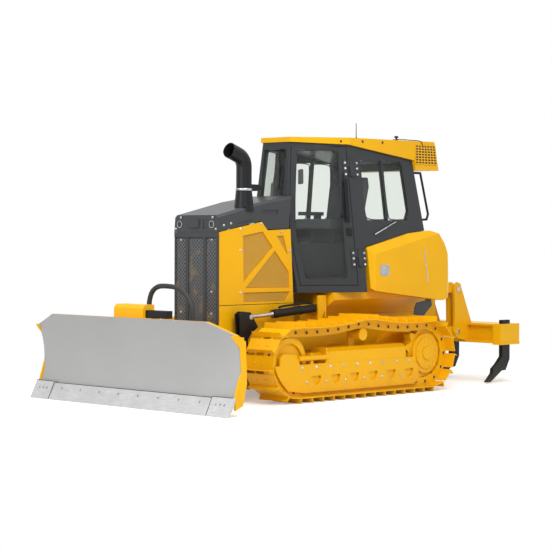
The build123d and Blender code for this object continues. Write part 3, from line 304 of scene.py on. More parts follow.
def punched(name, sheet, hole_shade, glimpse, pitch_mm, hole, axis):
    """Painted sheet with staggered holes, hole being their radius as a share of the cell."""
    material, tree, place = blank_material(name)
    parts = add_node(tree, "ShaderNodeSeparateXYZ", links={"Vector": place}).outputs
    flat = add_node(tree, "ShaderNodeCombineXYZ", links={"X": parts[axis], "Y": parts[2]}).outputs[0]
    turned_flat = add_node(tree, "ShaderNodeMapping", {"Rotation": (0, 0, math.pi / 4)},
                           {"Vector": flat}).outputs[0]
    cell = add_node(tree, "ShaderNodeTexVoronoi", {"voronoi_dimensions": "2D", "Randomness": 0.0,
                                                   "Scale": across(pitch_mm)},
                    {"Vector": turned_flat}).outputs["Distance"]
    solid = add_node(tree, "ShaderNodeMapRange", {"From Min": hole - rim, "From Max": hole + rim},
                     {"Value": cell}).outputs["Result"]
    cloud = add_node(tree, "ShaderNodeTexNoise", {"Scale": across(glimpse_mm), "Detail": 3.0},
                     {"Vector": place}).outputs["Fac"]
    patch = add_node(tree, "ShaderNodeMapRange", {"From Min": 0.55, "From Max": 0.66},
                     {"Value": cloud}).outputs["Result"]
    # The holes are painted a dark colour, painted shade of the space behind, with patches of painted glimpses
    # of lit parts behind.
    shaded_holes = add_node(tree, "ShaderNodeMix", {"data_type": "RGBA", 6: paint(hole_shade), 7: paint(glimpse)},
                    {"Factor": patch}).outputs[2]
    colour = add_node(tree, "ShaderNodeMix", {"data_type": "RGBA", 7: paint(sheet)},
                      {"Factor": solid, 6: shaded_holes}).outputs[2]
    bump = add_node(tree, "ShaderNodeBump", {"Strength": 0.6, "Distance": 0.002},
                    {"Height": solid}).outputs[0]
    shader = add_node(tree, "ShaderNodeBsdfPrincipled", {"Roughness": 0.45, "IOR": 1.5},
                      {"Base Color": colour, "Normal": bump})
    add_node(tree, "ShaderNodeOutputMaterial", links={"Surface": shader.outputs[0]})
    return material


# Punched steel in dark grey enamel: a grey net over holes painted black as painted shade, with painted
# glimpses of yellow parts behind.
radiator_sheet = punched("punched radiator sheet", "#55585B", "#0A0A0B", "#8C6C18", 30, 0.33, along_y)
# Expanded steel in yellow enamel, its sheet a duller, browner yellow than the panel's: its holes are painted
# brown as painted shade behind the mesh, with painted glimpses of yellow.
door_mesh = punched("engine door mesh", "#CB9826", "#9A6F12", "#B38318", 5, 0.28, along_x)
print("sheets", [m.name for m in (radiator_sheet, door_mesh)])

# %% [markdown]
# ## Making small pieces
# The drawing measures along the machine from the middle of its track, in millimetres, and that is also
# how a fitter would measure. One function turns such a place into the frame's metres, and one makes an
# object of a finished shape and hangs it on the body that carries it. Edges sharper than 32 degrees stay
# crisp and the rest is shaded smooth, as on turned or pressed parts.

# %% Places and pieces
track_mid = 0.1585


def at(x, y, z):
    """A place in millimetres from the middle of the track, in the frame's metres."""
    return Vector((x / 1000 + track_mid, y / 1000, z / 1000))


def new_piece(name, shape, material, body):
    """Turn a bmesh into an object that rides on a body."""
    bmesh.ops.recalc_face_normals(shape, faces=shape.faces)
    mesh = bpy.data.meshes.new(name)
    shape.to_mesh(mesh)
    shape.free()
    mesh.materials.append(material)
    mesh.shade_smooth()
    mesh.set_sharp_from_angle(angle=math.radians(32))
    piece = bpy.data.objects.new(name, mesh)
    bpy.context.scene.collection.objects.link(piece)
    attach(piece, body)


print("track's middle at", [round(v, 4) for v in at(0, 0, 0)])

# %% [markdown]
# ## Turned, cut and bent shapes
# Nearly all small pieces of a machine are made in one of three ways: turned on a lathe, cut from plate with
# the edges eased, or bent from tube. One function makes each. Modifiers could do the same, but a shape that
# is built directly stays small and needs nothing applied later.

# %% Turn, cut and bend
def turn(shape, profile, place, out, sides=20, ring=False):
    """Turn (radius, height) rows in millimetres round the line that leaves place along out.

    A ring's last row is joined to its first, so that it has a hole instead of two end faces.
    """
    aim = Vector(out).normalized().to_track_quat("Z", "Y").to_matrix()
    rings = []
    for radius, height in profile:
        turns = [2 * math.pi * k / sides for k in range(sides)]
        spots = [(radius * math.cos(angle), radius * math.sin(angle), height) for angle in turns]
        rings.append([shape.verts.new(place + aim @ Vector(spot) / 1000) for spot in spots])
    for low, high in zip(rings, rings[1:] + rings[:1] if ring else rings[1:]):
        for k in range(sides):
            after = (k + 1) % sides
            shape.faces.new((low[k], low[after], high[after], high[k]))
    if not ring:
        shape.faces.new(rings[0])
        shape.faces.new(rings[-1])


def cut(shape, corners, out, thick, ease=1.5):
    """A plate with these corners (metres), thick millimetres along out, its edges eased."""
    rise = Vector(out).normalized() * thick / 1000
    low = [shape.verts.new(corner) for corner in corners]
    high = [shape.verts.new(corner + rise) for corner in corners]
    faces = [shape.faces.new(low), shape.faces.new(high)]
    for k in range(len(low)):
        after = (k + 1) % len(low)
        faces.append(shape.faces.new((low[k], low[after], high[after], high[k])))
    edges = list({edge for face in faces for edge in face.edges})
    bmesh.ops.bevel(shape, geom=edges, offset=ease / 1000, segments=2, affect="EDGES", clamp_overlap=True)


def bent_tube(name, body, places, diameter, material, closed=False):
    """A tube of a diameter in millimetres along a smooth line of places."""
    line = bpy.data.curves.new(name, "CURVE")
    line.dimensions = "3D"
    spline = line.splines.new("NURBS")
    spline.points.add(len(places) - 1)
    for point, place in zip(spline.points, places):
        point.co = (*place, 1)
    spline.order_u = 3
    spline.use_endpoint_u = not closed
    spline.use_cyclic_u = closed
    line.resolution_u = 6
    line.bevel_depth = diameter / 2000
    line.bevel_resolution = 3
    line.use_fill_caps = True
    line.materials.append(material)
    tube = bpy.data.objects.new(name, line)
    bpy.context.scene.collection.objects.link(tube)
    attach(tube, body)


print("three ways to make a shape:", [way.__name__ for way in (turn, cut, bent_tube)])

# %% [markdown]
# ## Bolts
# A hexagon bolt is a washer with a six-sided head on it, its top corners turned off. Plough bolts, which
# hold the cutting edge, sink into the steel and leave only a shallow dome, so that soil slides past. A
# bump map could fake them on the plate, but real shapes catch light at their corners from every side.

# %% Bolt heads
def bolts(name, body, size, places, out, material):
    """Hexagon bolts of a thread size in millimetres on a face that looks along out."""
    washer = ((size * 1.15, -1), (size * 1.15, 1.2), (size * 1.05, 2.2))
    head = ((size * 0.88, 2), (size * 0.88, 2 + size * 0.5), (size * 0.74, 2 + size * 0.62))
    shape = bmesh.new()
    for place in places:
        turn(shape, washer, place, out, 18)
        turn(shape, head, place, out, 6)
    new_piece(name, shape, material, body)


def domes(name, body, size, places, out, material):
    """Plough bolts: shallow domes of a diameter in millimetres."""
    dome = ((size / 2, -1), (size / 2, 1), (size * 0.36, 2.6), (size * 0.12, 3.2))
    shape = bmesh.new()
    for place in places:
        turn(shape, dome, place, out, 18)
    new_piece(name, shape, material, body)


print("a 12 mm bolt's head is", round(2 * 12 * 0.88, 1), "mm over its corners")

# %% [markdown]
# ## Bolts on the engine's panels, hood and grille
# The panels beside the engine come off for service, so they are held by a few bolts along their edges, and
# so are the hood's front and the grille. Each list gives the places on one flat face, and one call fills it.

# %% Panel, hood and grille bolts
panel_y, hood_front_x, grille_x = 318, 1557, 1547
panel_spots = ((1227, 1758), (1226, 1537), (1225, 1107), (931, 1811), (634, 1726), (513, 1526))
hood_spots = ((1465, 1793), (1363, 1812))
front_spots = ((-219, 1872), (251, 1873), (-298, 1756), (298, 1756))
grille_spots = ((-228, 1644), (228, 1647), (228, 1119), (-46, 1700), (46, 1700), (-228, 900), (228, 900))
for side, hand in ((1, "left"), (-1, "right")):
    for group, spots in (("panel_bolts", panel_spots), ("hood_bolts", hood_spots)):
        places = [at(x, side * panel_y, z) for x, z in spots]
        bolts(f"{group}_{hand}", "machine", 12, places, (0, side, 0), zinc)
bolts("hood_front_bolts", "machine", 12, [at(hood_front_x, y, z) for y, z in front_spots], (1, 0, 0), zinc)
bolts("grille_bolts", "machine", 11, [at(grille_x, y, z) for y, z in grille_spots], (1, 0, 0), zinc)
print("bolts on the sides:", 2 * len(panel_spots + hood_spots),
      "and in front:", len(front_spots + grille_spots))

# %% [markdown]
# ## Bolts and joints of the cutting edge
# The edge is a long bar with an end bit at each corner, and all three are bolted on so that they can be
# changed when they are worn. Where a bar meets its neighbour or the blade, the narrow gap and step lie in
# shade as a thin dark line. A cut in the steel would mean new edges in the CAD, so we lay a strip of black
# a millimetre proud instead, as painted shade.

# %% Edge bolts and joints
edge_foot, edge_level = 2528, 3
edge_rise, edge_out = (-96, 169), (169, 0, 96)
bit_rise, bit_out = (-90, 181), (181, 0, 90)


def up_slope(rise, share, y):
    """A place on a bar of the cutting edge, a share of the way up its sloping face."""
    return at(edge_foot + share * rise[0], y, edge_level + share * rise[1])


edge_spots = [up_slope(edge_rise, 0.68, y) for y in range(-1029, 1030, 294)]
domes("cutting_edge_bolts", "blade_body", 26, edge_spots, edge_out, worn_bolt)
bit_spots = [up_slope(bit_rise, 0.6, side * y) for side in (-1, 1) for y in (1262, 1320, 1378)]
domes("end_bit_bolts", "blade_body", 26, bit_spots, bit_out, worn_bolt)
# Black strips a millimetre proud: painted shade of the gaps where the bars meet.
top_gap_shade = ((0.97, -1171), (1, -1171), (1, 1171), (0.97, 1171))
bit_gap_shades = (((0.02, 1176), (1, 1176), (1, 1182), (0.02, 1182)),
             ((0.97, 1182), (1, 1182), (1, 1464), (0.97, 1464)))
shape = bmesh.new()
cut(shape, [up_slope(edge_rise, share, y) for share, y in top_gap_shade], edge_out, 1.2, 0.2)
for side in (-1, 1):
    for gap_shade in bit_gap_shades:
        cut(shape, [up_slope(bit_rise, share, side * y) for share, y in gap_shade], bit_out, 1.2, 0.2)
new_piece("edge_gap_shade", shape, black, "blade_body")
print("bolts:", len(edge_spots), "on the edge and", len(bit_spots), "on its end bits")

# %% [markdown]
# ## Bolts on the track frames and drives
# The roller guards are bolted along each track frame in two rows, and a ring of twelve bolts holds the
# cover of each final drive. The ring was sprayed with the machine, so its bolts are yellow.

# %% Bolts on the track frames and drives
guard_y, cover_y = 882, 866
drive_x, drive_z, ring_radius = -1082, 411, 140
for side, hand in ((1, "left"), (-1, "right")):
    high_row = [at(x, side * guard_y, 350) for x in range(-760, 900, 207)]
    bolts(f"guard_bolts_{hand}", "machine", 13, high_row, (0, side, 0), zinc)
    low_row = [at(-40 + (k - 3) * 292, side * guard_y, 200) for k in range(1, 7)]
    bolts(f"roller_bolts_{hand}", "machine", 12, low_row, (0, side, 0), zinc)
    ring = [at(drive_x + ring_radius * math.cos(a), side * cover_y, drive_z + ring_radius * math.sin(a))
            for a in (math.radians(15 + 30 * k) for k in range(12))]
    bolts(f"drive_bolts_{hand}", "machine", 12, ring, (0, side, 0), yellow)
    print(hand, "side:", len(high_row), "guard,", len(low_row), "roller and", len(ring), "drive bolts")

# %% [markdown]
# ## Track bolts and pins
# Every shoe is bolted to its links, and a pin joins each pair of links to the next. The track's mesh
# already knows where its shoes are, so we let it tell us: merge its triangles back into flat faces and keep
# the wide ones that look outward, which is one face of every shoe. On each we draw two of a real shoe's
# four bolts. Half a pitch along, and deeper than the plate, lie a pin's end, a dark disc that is also painted
# shade of the recess between the links, and the yellow boss round it.

# %% Bolts on the shoes
half_pitch, pin_deep, link_face = 0.0797, 0.057, 0.0772
shoe_wide, shoe_area, bolt_aside, facing = 0.38, 0.012, 0.062, 0.7
boss = ((18, -1), (30, -1), (30, 3), (27, 5), (20, 5), (18, 3))
for hand in ("left", "right"):
    low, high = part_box(f"track_{hand}")
    half_high = (high[2] - low[2]) / 2
    wheel_level = (high[2] + low[2]) / 2 - 0.02
    faces = bmesh.new()
    faces.from_mesh(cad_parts[f"track_{hand}"].data)
    bmesh.ops.remove_doubles(faces, verts=faces.verts, dist=0.0002)
    bmesh.ops.dissolve_limit(faces, angle_limit=math.radians(1), verts=faces.verts, edges=faces.edges)
    shape, pin_shades, bosses = bmesh.new(), bmesh.new(), bmesh.new()
    count = 0
    for face in faces.faces:
        ys = [vert.co.y for vert in face.verts]
        centre = face.calc_center_median()
        hub = Vector((min(max(centre.x, low[0] + half_high), high[0] - half_high), centre.y, wheel_level))
        outward = (centre - hub).normalized()
        if max(ys) - min(ys) < shoe_wide or face.normal.dot(outward) < facing or face.calc_area() < shoe_area:
            continue
        for dy in (-bolt_aside, bolt_aside):
            spot = Vector((centre.x, centre.y + dy, centre.z))
            turn(shape, ((12, -1), (12, 6), (9, 9)), spot, face.normal, 6)
            count += 1
        pin = centre + face.normal.cross(Vector((0, 1, 0))) * half_pitch - face.normal * pin_deep
        # Each pin's end is a dark disc: the pin, and painted shade of the recess between the links.
        for out in (-1, 1):
            spot = Vector((pin.x, centre.y + out * link_face, pin.z))
            turn(pin_shades, ((17, -1), (17, 1.5)), spot, (0, out, 0), 16)
            turn(bosses, boss, spot, (0, out, 0), 16, ring=True)
    faces.free()
    new_piece(f"track_pin_shades_{hand}", pin_shades, cast_iron, "machine")
    new_piece(f"track_bosses_{hand}", bosses, yellow, "machine")
    new_piece(f"shoe_bolts_{hand}", shape, yellow, "machine")
    print(hand, "track:", count, "bolts")

# %% [markdown]
# ## Grille and meshes
# Each opening of the radiator's frame holds its own punched sheet, and the engine's panels hold finer mesh
# cut to the shape of their windows. All are thin plates set into the recess. The slot near the top of each
# side of the hood is a black strip, painted shade that stands in for the dark inside of a real slot.

# %% Punched sheets
sheet_x, mesh_y, slot_y = 1545.5, 302.5, 317.4
columns = ((-299, -151), (-107, 107), (151, 299))
shape = bmesh.new()
for low, high in columns:
    opening = ((low, 792), (high, 792), (high, 1660), (low, 1660))
    cut(shape, [at(sheet_x, y, z) for y, z in opening], (1, 0, 0), 3)
new_piece("radiator_sheets", shape, radiator_sheet, "machine")
# Black strips on the hood's sides: painted shade of the slots' dark inside.
slot = ((1285, 1814), (1048, 1855), (1048, 1845), (1285, 1804))
shape = bmesh.new()
for side in (-1, 1):
    cut(shape, [at(x, side * slot_y, z) for x, z in slot], (0, side, 0), 1.6, 0.5)
new_piece("hood_slot_shades", shape, nitrile_rubber, "machine")
windows = (
    ((1190, 1680), (910, 1725), (763, 1567), (1179, 1218)),
    ((729, 1526), (524, 1312), (513, 1150), (1145, 1156)),
    ((1178, 1101), (507, 1100), (562, 1011), (1177, 1011)),
    ((698, 1681), (600, 1684), (537, 1484)))
for side, hand in ((1, "left"), (-1, "right")):
    shape = bmesh.new()
    for window in windows:
        cut(shape, [at(x, side * mesh_y, z) for x, z in window], (0, side, 0), 4)
    new_piece(f"door_meshes_{hand}", shape, door_mesh, "machine")
print("sheets", len(columns), "and meshes a side", len(windows))

# %% [markdown]
# ## Paint the CAD pieces
# Every node of the frame gets its finish from one table, so that nothing is left plain. The table
# goes by the start of a node's name, the first match winning.

# %% Finish of each node
finishes = (
    ("track_frame", yellow), ("track_", yellow), ("rollers", yellow), ("carrier", yellow), ("idlers", yellow),
    ("final_drives", yellow), ("hull", yellow), ("lift_brackets", black), ("angle_mounts", yellow),
    ("c_frame", yellow), ("blade_yoke", yellow), ("blade_guard", yellow), ("blade_back", yellow),
    ("blade", primer), ("cutting_edge", rolled_steel), ("hose_bracket", black),
    ("lift_rod", hard_chrome), ("angle_rod", hard_chrome), ("tilt_rod", hard_chrome),
    ("ripper_rod", hard_chrome),
    ("lift_barrel", black), ("angle_barrel", black), ("tilt_barrel", black), ("ripper_barrel", black),
    ("bay_frame", yellow), ("engine_panels", yellow), ("engine", cast_iron), ("radiator", cast_iron),
    ("hood", dark_grey), ("grille", dark_grey), ("exhaust", black), ("lamps", laminated_glass),
    ("cab_windows", laminated_glass), ("door_glass", laminated_glass), ("door_handle", black),
    ("cab_base", yellow), ("cab_frame", cab_grey), ("door_", cab_grey), ("handrails", black),
    ("roof", yellow), ("seat", woven_polyester), ("console", moulded_abs), ("tank", yellow),
    ("drain_flaps", dark_grey), ("ripper_shanks", black), ("ripper_", yellow),
)
for node_name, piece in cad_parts.items():
    material = next(finish for start, finish in finishes if node_name.startswith(start))
    piece.data.materials.clear()
    piece.data.materials.append(material)
print(len(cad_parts), "nodes painted with", len({finish for _, finish in finishes}), "finishes")

# %% [markdown]
# ## Places on the cab
# The cab's side walls lean inward, and the doors stand askew in front of them. Fittings are easier to place
# by their height and by how far along the wall or the door they are, so two functions do the leaning.

# %% Places on walls and doors
sill_half, sill_z, wall_lean = 604, 1867, 0.12


def wall_half(z):
    """Half width of the cab over its leaning side walls, in millimetres."""
    return sill_half + wall_lean * (sill_z - z)


def on_wall(side, x, z, proud=0.0):
    """A place on the left (1) or right (-1) side wall, proud of it by some millimetres."""
    return at(x, side * (wall_half(z) + proud), z)


door_top, door_rise = 2654, 0.995
door_origin = at(394, 194, door_top)
door_back = Vector((-0.878, 0.4787, 0.0))
door_out = Vector((0.4763, 0.8736, 0.0991))
door_up = door_out.cross(door_back)


def on_door(side, along, z, proud=0.0):
    """A place on a door, along it from the windshield and at a height, proud of it in millimetres."""
    place = door_origin + (door_back * along + door_up * (z - door_top) / door_rise + door_out * proud) / 1000
    return Vector((place.x, side * place.y, place.z))


def door_face(side):
    """The way that the left (1) or right (-1) door looks."""
    return door_out.x, side * door_out.y, door_out.z


print("cab width at the top and the sill:", [round(2 * wall_half(z)) for z in (door_top, sill_z)], "mm")

# %% [markdown]
# ## Window seals
# Each pane is held in a bead of extruded rubber that runs all the way round it. A flat black border painted
# on the glass would do from afar, but a round bead catches a thin line of light. We bend it from tube.

# %% Window seals
panes = (
    ((-352, 2500), (-698, 2500), (-719, 1858), (-400, 1858), (-362, 1905)),
    ((-714, 2500), (-1010, 2500), (-1048, 2458), (-1098, 1960), (-1045, 1860), (-735, 1858)))
door_pane = ((80, 2602), (46, 2047), (40, 1740), (146, 1238), (614, 1238), (550, 2602))


round_off, inset = 0.034, 0.004


def seal(name, body, corners, diameter):
    """A rubber bead round a window: each corner gets two points, so that the bead turns in a short arc."""
    middle_place = sum(corners, Vector()) / len(corners)
    route = []
    for k, corner in enumerate(corners):
        before, after = corners[k - 1], corners[(k + 1) % len(corners)]
        route += [corner + (end - corner).normalized() * round_off for end in (before, after)]
    route = [place + (middle_place - place).normalized() * inset for place in route]
    bent_tube(name, body, route, diameter, nitrile_rubber, closed=True)


for side, hand in ((1, "left"), (-1, "right")):
    for pane, where in zip(panes, ("front", "rear")):
        seal(f"seal_{where}_{hand}", "machine", [on_wall(side, x, z, -3) for x, z in pane], 12)
    seal(f"seal_door_{hand}", f"door_{hand}_body", [on_door(side, s, z, -4) for s, z in door_pane], 14)
print("seals round", 2 * (len(panes) + 1), "panes")

# %% [markdown]
# ## Door fittings
# Each hinge is bolted through both leaves, one to the wall and one to the door, with three bolts a leaf. A
# latch holds the door shut, and a gas strut lies on the wall under the windows. What sits on the door rides
# on the door's body, so that it swings out with it.

# %% Hinge bolts, latches and struts
def hinge_edge(z):
    """How far along a door its leaning rear edge lies at a height."""
    return 662 + 100 * (2628 - z) / 1466


strut_profile = ((3, 0), (9, 2), (9, 220), (7, 226), (4, 228), (4, 388), (6, 392))
for side, hand in ((1, "left"), (-1, "right")):
    for low, level in ((1355, "low"), (2315, "high")):
        heights = (low + 28, low + 92, low + 150)
        wall_spots = [on_wall(side, -290, z, 8) for z in heights]
        bolts(f"wall_hinge_bolts_{level}_{hand}", "machine", 11, wall_spots, (0, side, wall_lean), zinc)
        leaf_spots = [on_door(side, hinge_edge(z) - 56, z, 8.5) for z in heights]
        bolts(f"leaf_hinge_bolts_{level}_{hand}", f"door_{hand}_body", 11, leaf_spots, door_face(side), zinc)
    shape = bmesh.new()
    latch = [on_door(side, s, z, 0) for s, z in ((610, 1770), (668, 1770), (676, 1690), (618, 1690))]
    cut(shape, latch, door_face(side), 14, 4)
    new_piece(f"door_latch_{hand}", shape, black, f"door_{hand}_body")
    strut = [on_wall(side, -477, 1702, 14), on_wall(side, -842, 1841, 14)]
    shape = bmesh.new()
    turn(shape, strut_profile, strut[0], strut[1] - strut[0], 14)
    new_piece(f"gas_strut_{hand}", shape, hard_chrome, "machine")
print("hinge bolts, latches and struts on both sides")

# %% [markdown]
# ## Wipers and mirror
# The windshield and both doors have a wiper: a spindle, a tapered arm of pressed steel and a rubber blade
# in a channel. The arm and the blade are plates cut to shape, lying a few millimetres off the glass. A
# small mirror hangs inside, behind the windshield.

# %% Wipers and mirror
def wiper(name, body, pivot, tip, blade_low, blade_high, out):
    """A wiper: a spindle cap, a tapered arm and a blade of rubber in a steel channel."""
    shape = bmesh.new()
    turn(shape, ((17, 0), (17, 10), (12, 16), (4, 18)), pivot, out, 18)
    rise = Vector(out).normalized() * 0.012
    beside = (tip - pivot).cross(Vector(out)).normalized()
    cut(shape, [pivot + beside * 0.011 + rise, tip + beside * 0.005 + rise, tip - beside * 0.005 + rise,
                pivot - beside * 0.011 + rise], out, 7, 1.5)
    beside = (blade_high - blade_low).cross(Vector(out)).normalized()
    cut(shape, [blade_low + beside * 0.006, blade_high + beside * 0.006, blade_high - beside * 0.006,
                blade_low - beside * 0.006], out, 13, 2)
    new_piece(name, shape, black, body)


front_out = (0.9962, 0, 0.087)
wiper("windshield_wiper", "machine", at(420, 96, 2596), at(446, 118, 2330),
      at(436, 128, 2440), at(457, 112, 2170), front_out)
for side, hand in ((1, "left"), (-1, "right")):
    wiper(f"door_wiper_{hand}", f"door_{hand}_body", on_door(side, 566, 1900, 2), on_door(side, 588, 2230, 2),
          on_door(side, 586, 2120, 2), on_door(side, 592, 2360, 2), door_face(side))
shape = bmesh.new()
mirror_face = [at(330, y, z) for y, z in ((262, 2385), (330, 2392), (334, 2236), (262, 2230))]
cut(shape, mirror_face, (-1, 0, 0), 20, 6)
new_piece("inside_mirror", shape, moulded_abs, "machine")
print("wipers and mirror")

# %% [markdown]
# ## Roof fittings
# On the roof stand an aerial with its base and a small lamp, whose rubber lead runs to the rear edge and
# down. Rubber plugs close the holes along the roof's left side. Things that are round are turned.

# %% Roof fittings
aerial = ((22, 0), (22, 8), (14, 16), (7, 22), (5, 26), (3.4, 179.5), (2.4, 180))
lamp = ((10, 0), (10, 22), (20, 24), (24, 30), (24, 38), (16, 44))
shape = bmesh.new()
turn(shape, aerial, at(-549, 300, 2735), (0, 0, 1), 16)
new_piece("aerial", shape, black, "machine")
shape = bmesh.new()
turn(shape, lamp, at(-930, 548, 2736), (0, 0, 1), 20)
foot = ((-960, 530), (-890, 530), (-890, 556), (-960, 556))
cut(shape, [at(x, y, 2737) for x, y in foot], (0, 0, 1), 6, 1.5)
new_piece("roof_lamp", shape, black, "machine")
lead = ((-950, 542, 2745), (-1010, 540, 2748), (-1130, 546, 2744), (-1250, 550, 2744),
        (-1320, 558, 2742), (-1348, 566, 2725), (-1352, 566, 2690), (-1350, 561, 2672))
bent_tube("roof_lamp_lead", "machine", [at(*place) for place in lead], 9, nitrile_rubber)
shape = bmesh.new()
for x, z in ((-384, 2700), (-49, 2690), (-700, 2700)):
    roof_half = wall_half(2660) + 26 + 25 * (-181 - x) / 1029
    turn(shape, ((14, -1), (14, 4), (9, 9), (3, 10)), at(x, roof_half, z), (0, 1, 0), 16)
new_piece("roof_plugs", shape, nitrile_rubber, "machine")
print("aerial, lamp with its lead, and plugs")

# %% [markdown]
# ## Vent lattices
# The box behind the roof breathes through an opening in each side, with a lattice of flat steel bars in
# front of it. Behind the bars the box's inside lies in shade, so a dark plate stands there as painted
# shade. The upright bars lean more and more towards the rear, as the end of the box does.

# %% Vent lattices
shade_plate_y, upright_y, level_y = 559.9, 561, 562
vent_front, vent_top, vent_foot = -1240, 2694, 2486
end_lean = -38
for side, hand in ((1, "left"), (-1, "right")):
    # A dark plate behind the bars: painted shade of the box's inside.
    shape = bmesh.new()
    corners = ((vent_front, vent_top), (-1566, vent_top), (-1604, vent_foot), (vent_front, vent_foot))
    cut(shape, [at(x, side * shade_plate_y, z) for x, z in corners], (0, side, 0), 1.5, 0.6)
    new_piece(f"vent_shade_plate_{hand}", shape, cast_iron, "machine")
    shape = bmesh.new()
    for k in range(8):
        x, z = vent_front - k * 48, vent_top - k * 29.7
        lean = end_lean * (k / 7)
        upright = ((x + 7, vent_top), (x - 7, vent_top), (x - 7 + lean, vent_foot), (x + 7 + lean, vent_foot))
        cut(shape, [at(px, side * upright_y, pz) for px, pz in upright], (0, side, 0), 5, 1.5)
        level = ((-1233, z + 6), (-1583 - k * 5, z + 6), (-1583 - k * 5, z - 6), (-1233, z - 6))
        cut(shape, [at(px, side * level_y, pz) for px, pz in level], (0, side, 0), 5, 1.5)
    new_piece(f"vent_lattice_{hand}", shape, yellow, "machine")
print("vent lattices of 8 uprights and 8 level bars")

# %% [markdown]
# ## Exhaust clamp, tank marks and lamps
# A band clamp of bright steel holds the exhaust pipe to its cone. The tank has a sight gauge on each side, a
# filler cap and a plain plate; its large badge place stays bare. The lamps in the hood's front get a
# plated ring round their glass. All are turned rings and thin plates.

# %% Clamp, gauge, cap and bezels
band = ((80.3, 0), (86, 1), (88, 5), (88, 19), (86, 23), (80.3, 24))
shape = bmesh.new()
turn(shape, band, at(1100, 235, 2150), (0, 0, 1), 48, ring=True)
clamp_ear = ((1182, 229), (1182, 241), (1212, 241), (1212, 229))
cut(shape, [at(x, y, 2152) for x, y in clamp_ear], (0, 0, 1), 20, 3)
new_piece("exhaust_clamp", shape, zinc, "machine")
tank_y = 689.5
gauge = ((-1242, 1548), (-1256, 1548), (-1322, 1170), (-1308, 1170))
plate = ((-510, 1376), (-655, 1376), (-662, 1258), (-517, 1258))
for side, hand in ((1, "left"), (-1, "right")):
    shape = bmesh.new()
    cut(shape, [at(x, side * tank_y, z) for x, z in gauge], (0, side, 0), 2.5, 1)
    new_piece(f"sight_gauge_{hand}", shape, zinc, "machine")
shape = bmesh.new()
cut(shape, [at(x, tank_y, z) for x, z in plate], (0, 1, 0), 2.5, 1)
new_piece("blank_plate", shape, zinc, "machine")
shape = bmesh.new()
turn(shape, ((46, 0), (46, 8), (42, 12), (20, 13)), at(-918, 604, 1668), (0, 0, 1), 28)
new_piece("filler_cap", shape, yellow, "machine")
shape = bmesh.new()
for y in (-238, 238):
    turn(shape, ((33, 0), (37, 1), (37, 5), (31, 6), (30, 3)), at(1556, y, 1802), (1, 0, 0), 32, ring=True)
new_piece("lamp_bezels", shape, zinc, "machine")
print("clamp, gauge, plate, cap and bezels")

# %% [markdown]
# ## Hydraulic lines
# Oil reaches the rams through steel pipe bent cold and clipped to the frame, with short ends of braided
# rubber where something moves. They are smooth lines through a few chosen places, and each ends in a
# crimped ferrule.

# %% Pipes, hoses and ferrules
def ferrule(shape, place, way, size):
    """A crimped collar with a hexagon nut, for a hose of a diameter in millimetres."""
    turn(shape, ((size * 0.5, 0), (size * 0.68, 3), (size * 0.68, 34), (size * 0.56, 38)), place, way, 18)
    turn(shape, ((size * 0.8, 38), (size * 0.8, 54), (size * 0.6, 58)), place, way, 6)


arch = ((2268, 88, 966), (2266, 92, 1092), (2264, 190, 1190), (2262, 354, 1197),
        (2260, 530, 1180), (2260, 692, 1056), (2262, 724, 926), (2264, 726, 796))
bent_tube("arch_line", "blade_body", [at(*place) for place in arch], 50, nitrile_rubber)
shape = bmesh.new()
ferrule(shape, at(2267, 89, 1010), (0, 0, -1), 50)
ferrule(shape, at(2264, 726, 846), (0, 0, -1), 50)
for x, y, z, thick in (((2222, 2292), (42, 136), 924, 30), ((2222, 2300), (680, 772), 741, 54)):
    foot = ((x[0], y[0]), (x[1], y[0]), (x[1], y[1]), (x[0], y[1]))
    cut(shape, [at(*corner, z) for corner in foot], (0, 0, 1), thick, 4)
new_piece("arch_line_ends", shape, black, "blade_body")
print("arch line with its ends")

# %% [markdown]
# ## Lines on the lift rams
# Each lift ram carries a bent steel pipe along its top, two clamps round its barrel and a bright gland
# where the rod comes out. They ride on the barrel, so they stay with it while the ram swings.

# %% Pipes, clamps and glands of the lift rams
ram_y, ram_foot, ram_run = 430, (186, 927), (1034, -67)
pipe = ((300, 975), (330, 985), (480, 975), (680, 962), (760, 955), (780, 945))
clamp_band = ((44.3, -9), (48, -7), (48, 7), (44.3, 9))
gland = ((22.6, 0), (27, 1), (27, 12), (24, 14), (22.6, 13))


def on_ram(side, share):
    """A place on a lift ram's axis, a share of the way from its foot to its eye."""
    return at(ram_foot[0] + ram_run[0] * share, side * ram_y, ram_foot[1] + ram_run[1] * share)


for side, hand in ((1, "left"), (-1, "right")):
    body = f"lift_tube_{hand}"
    bent_tube(f"lift_pipe_{hand}", body, [at(x, side * ram_y, z) for x, z in pipe], 24, black)
    shape = bmesh.new()
    for share in (0.27, 0.62):
        turn(shape, clamp_band, on_ram(side, share), (ram_run[0], 0, ram_run[1]), 30, ring=True)
    new_piece(f"lift_clamps_{hand}", shape, black, body)
    shape = bmesh.new()
    turn(shape, gland, on_ram(side, 0.668), (ram_run[0], 0, ram_run[1]), 28, ring=True)
    new_piece(f"lift_gland_{hand}", shape, zinc, body)
print("pipes, clamps and glands on both lift rams")

# %% [markdown]
# ## Pin caps
# A plated cap covers each end of the pins that hang the lift rams and the ripper's links. All have the same
# turned profile, a flat rim with a low cone on it, in slightly different sizes.

# %% Pin caps
def pin_caps(name, body, radius, rim, y, places):
    """Caps of a radius and a rim height, on both sides of the machine at these (x, z) places."""
    shape = bmesh.new()
    for side in (-1, 1):
        for x, z in places:
            turn(shape, ((radius, 0), (radius, rim), (radius - 6, rim + 4), (8, rim + 5)), at(x, side * y, z),
                 (0, side, 0), 24)
    new_piece(name, shape, zinc, body)


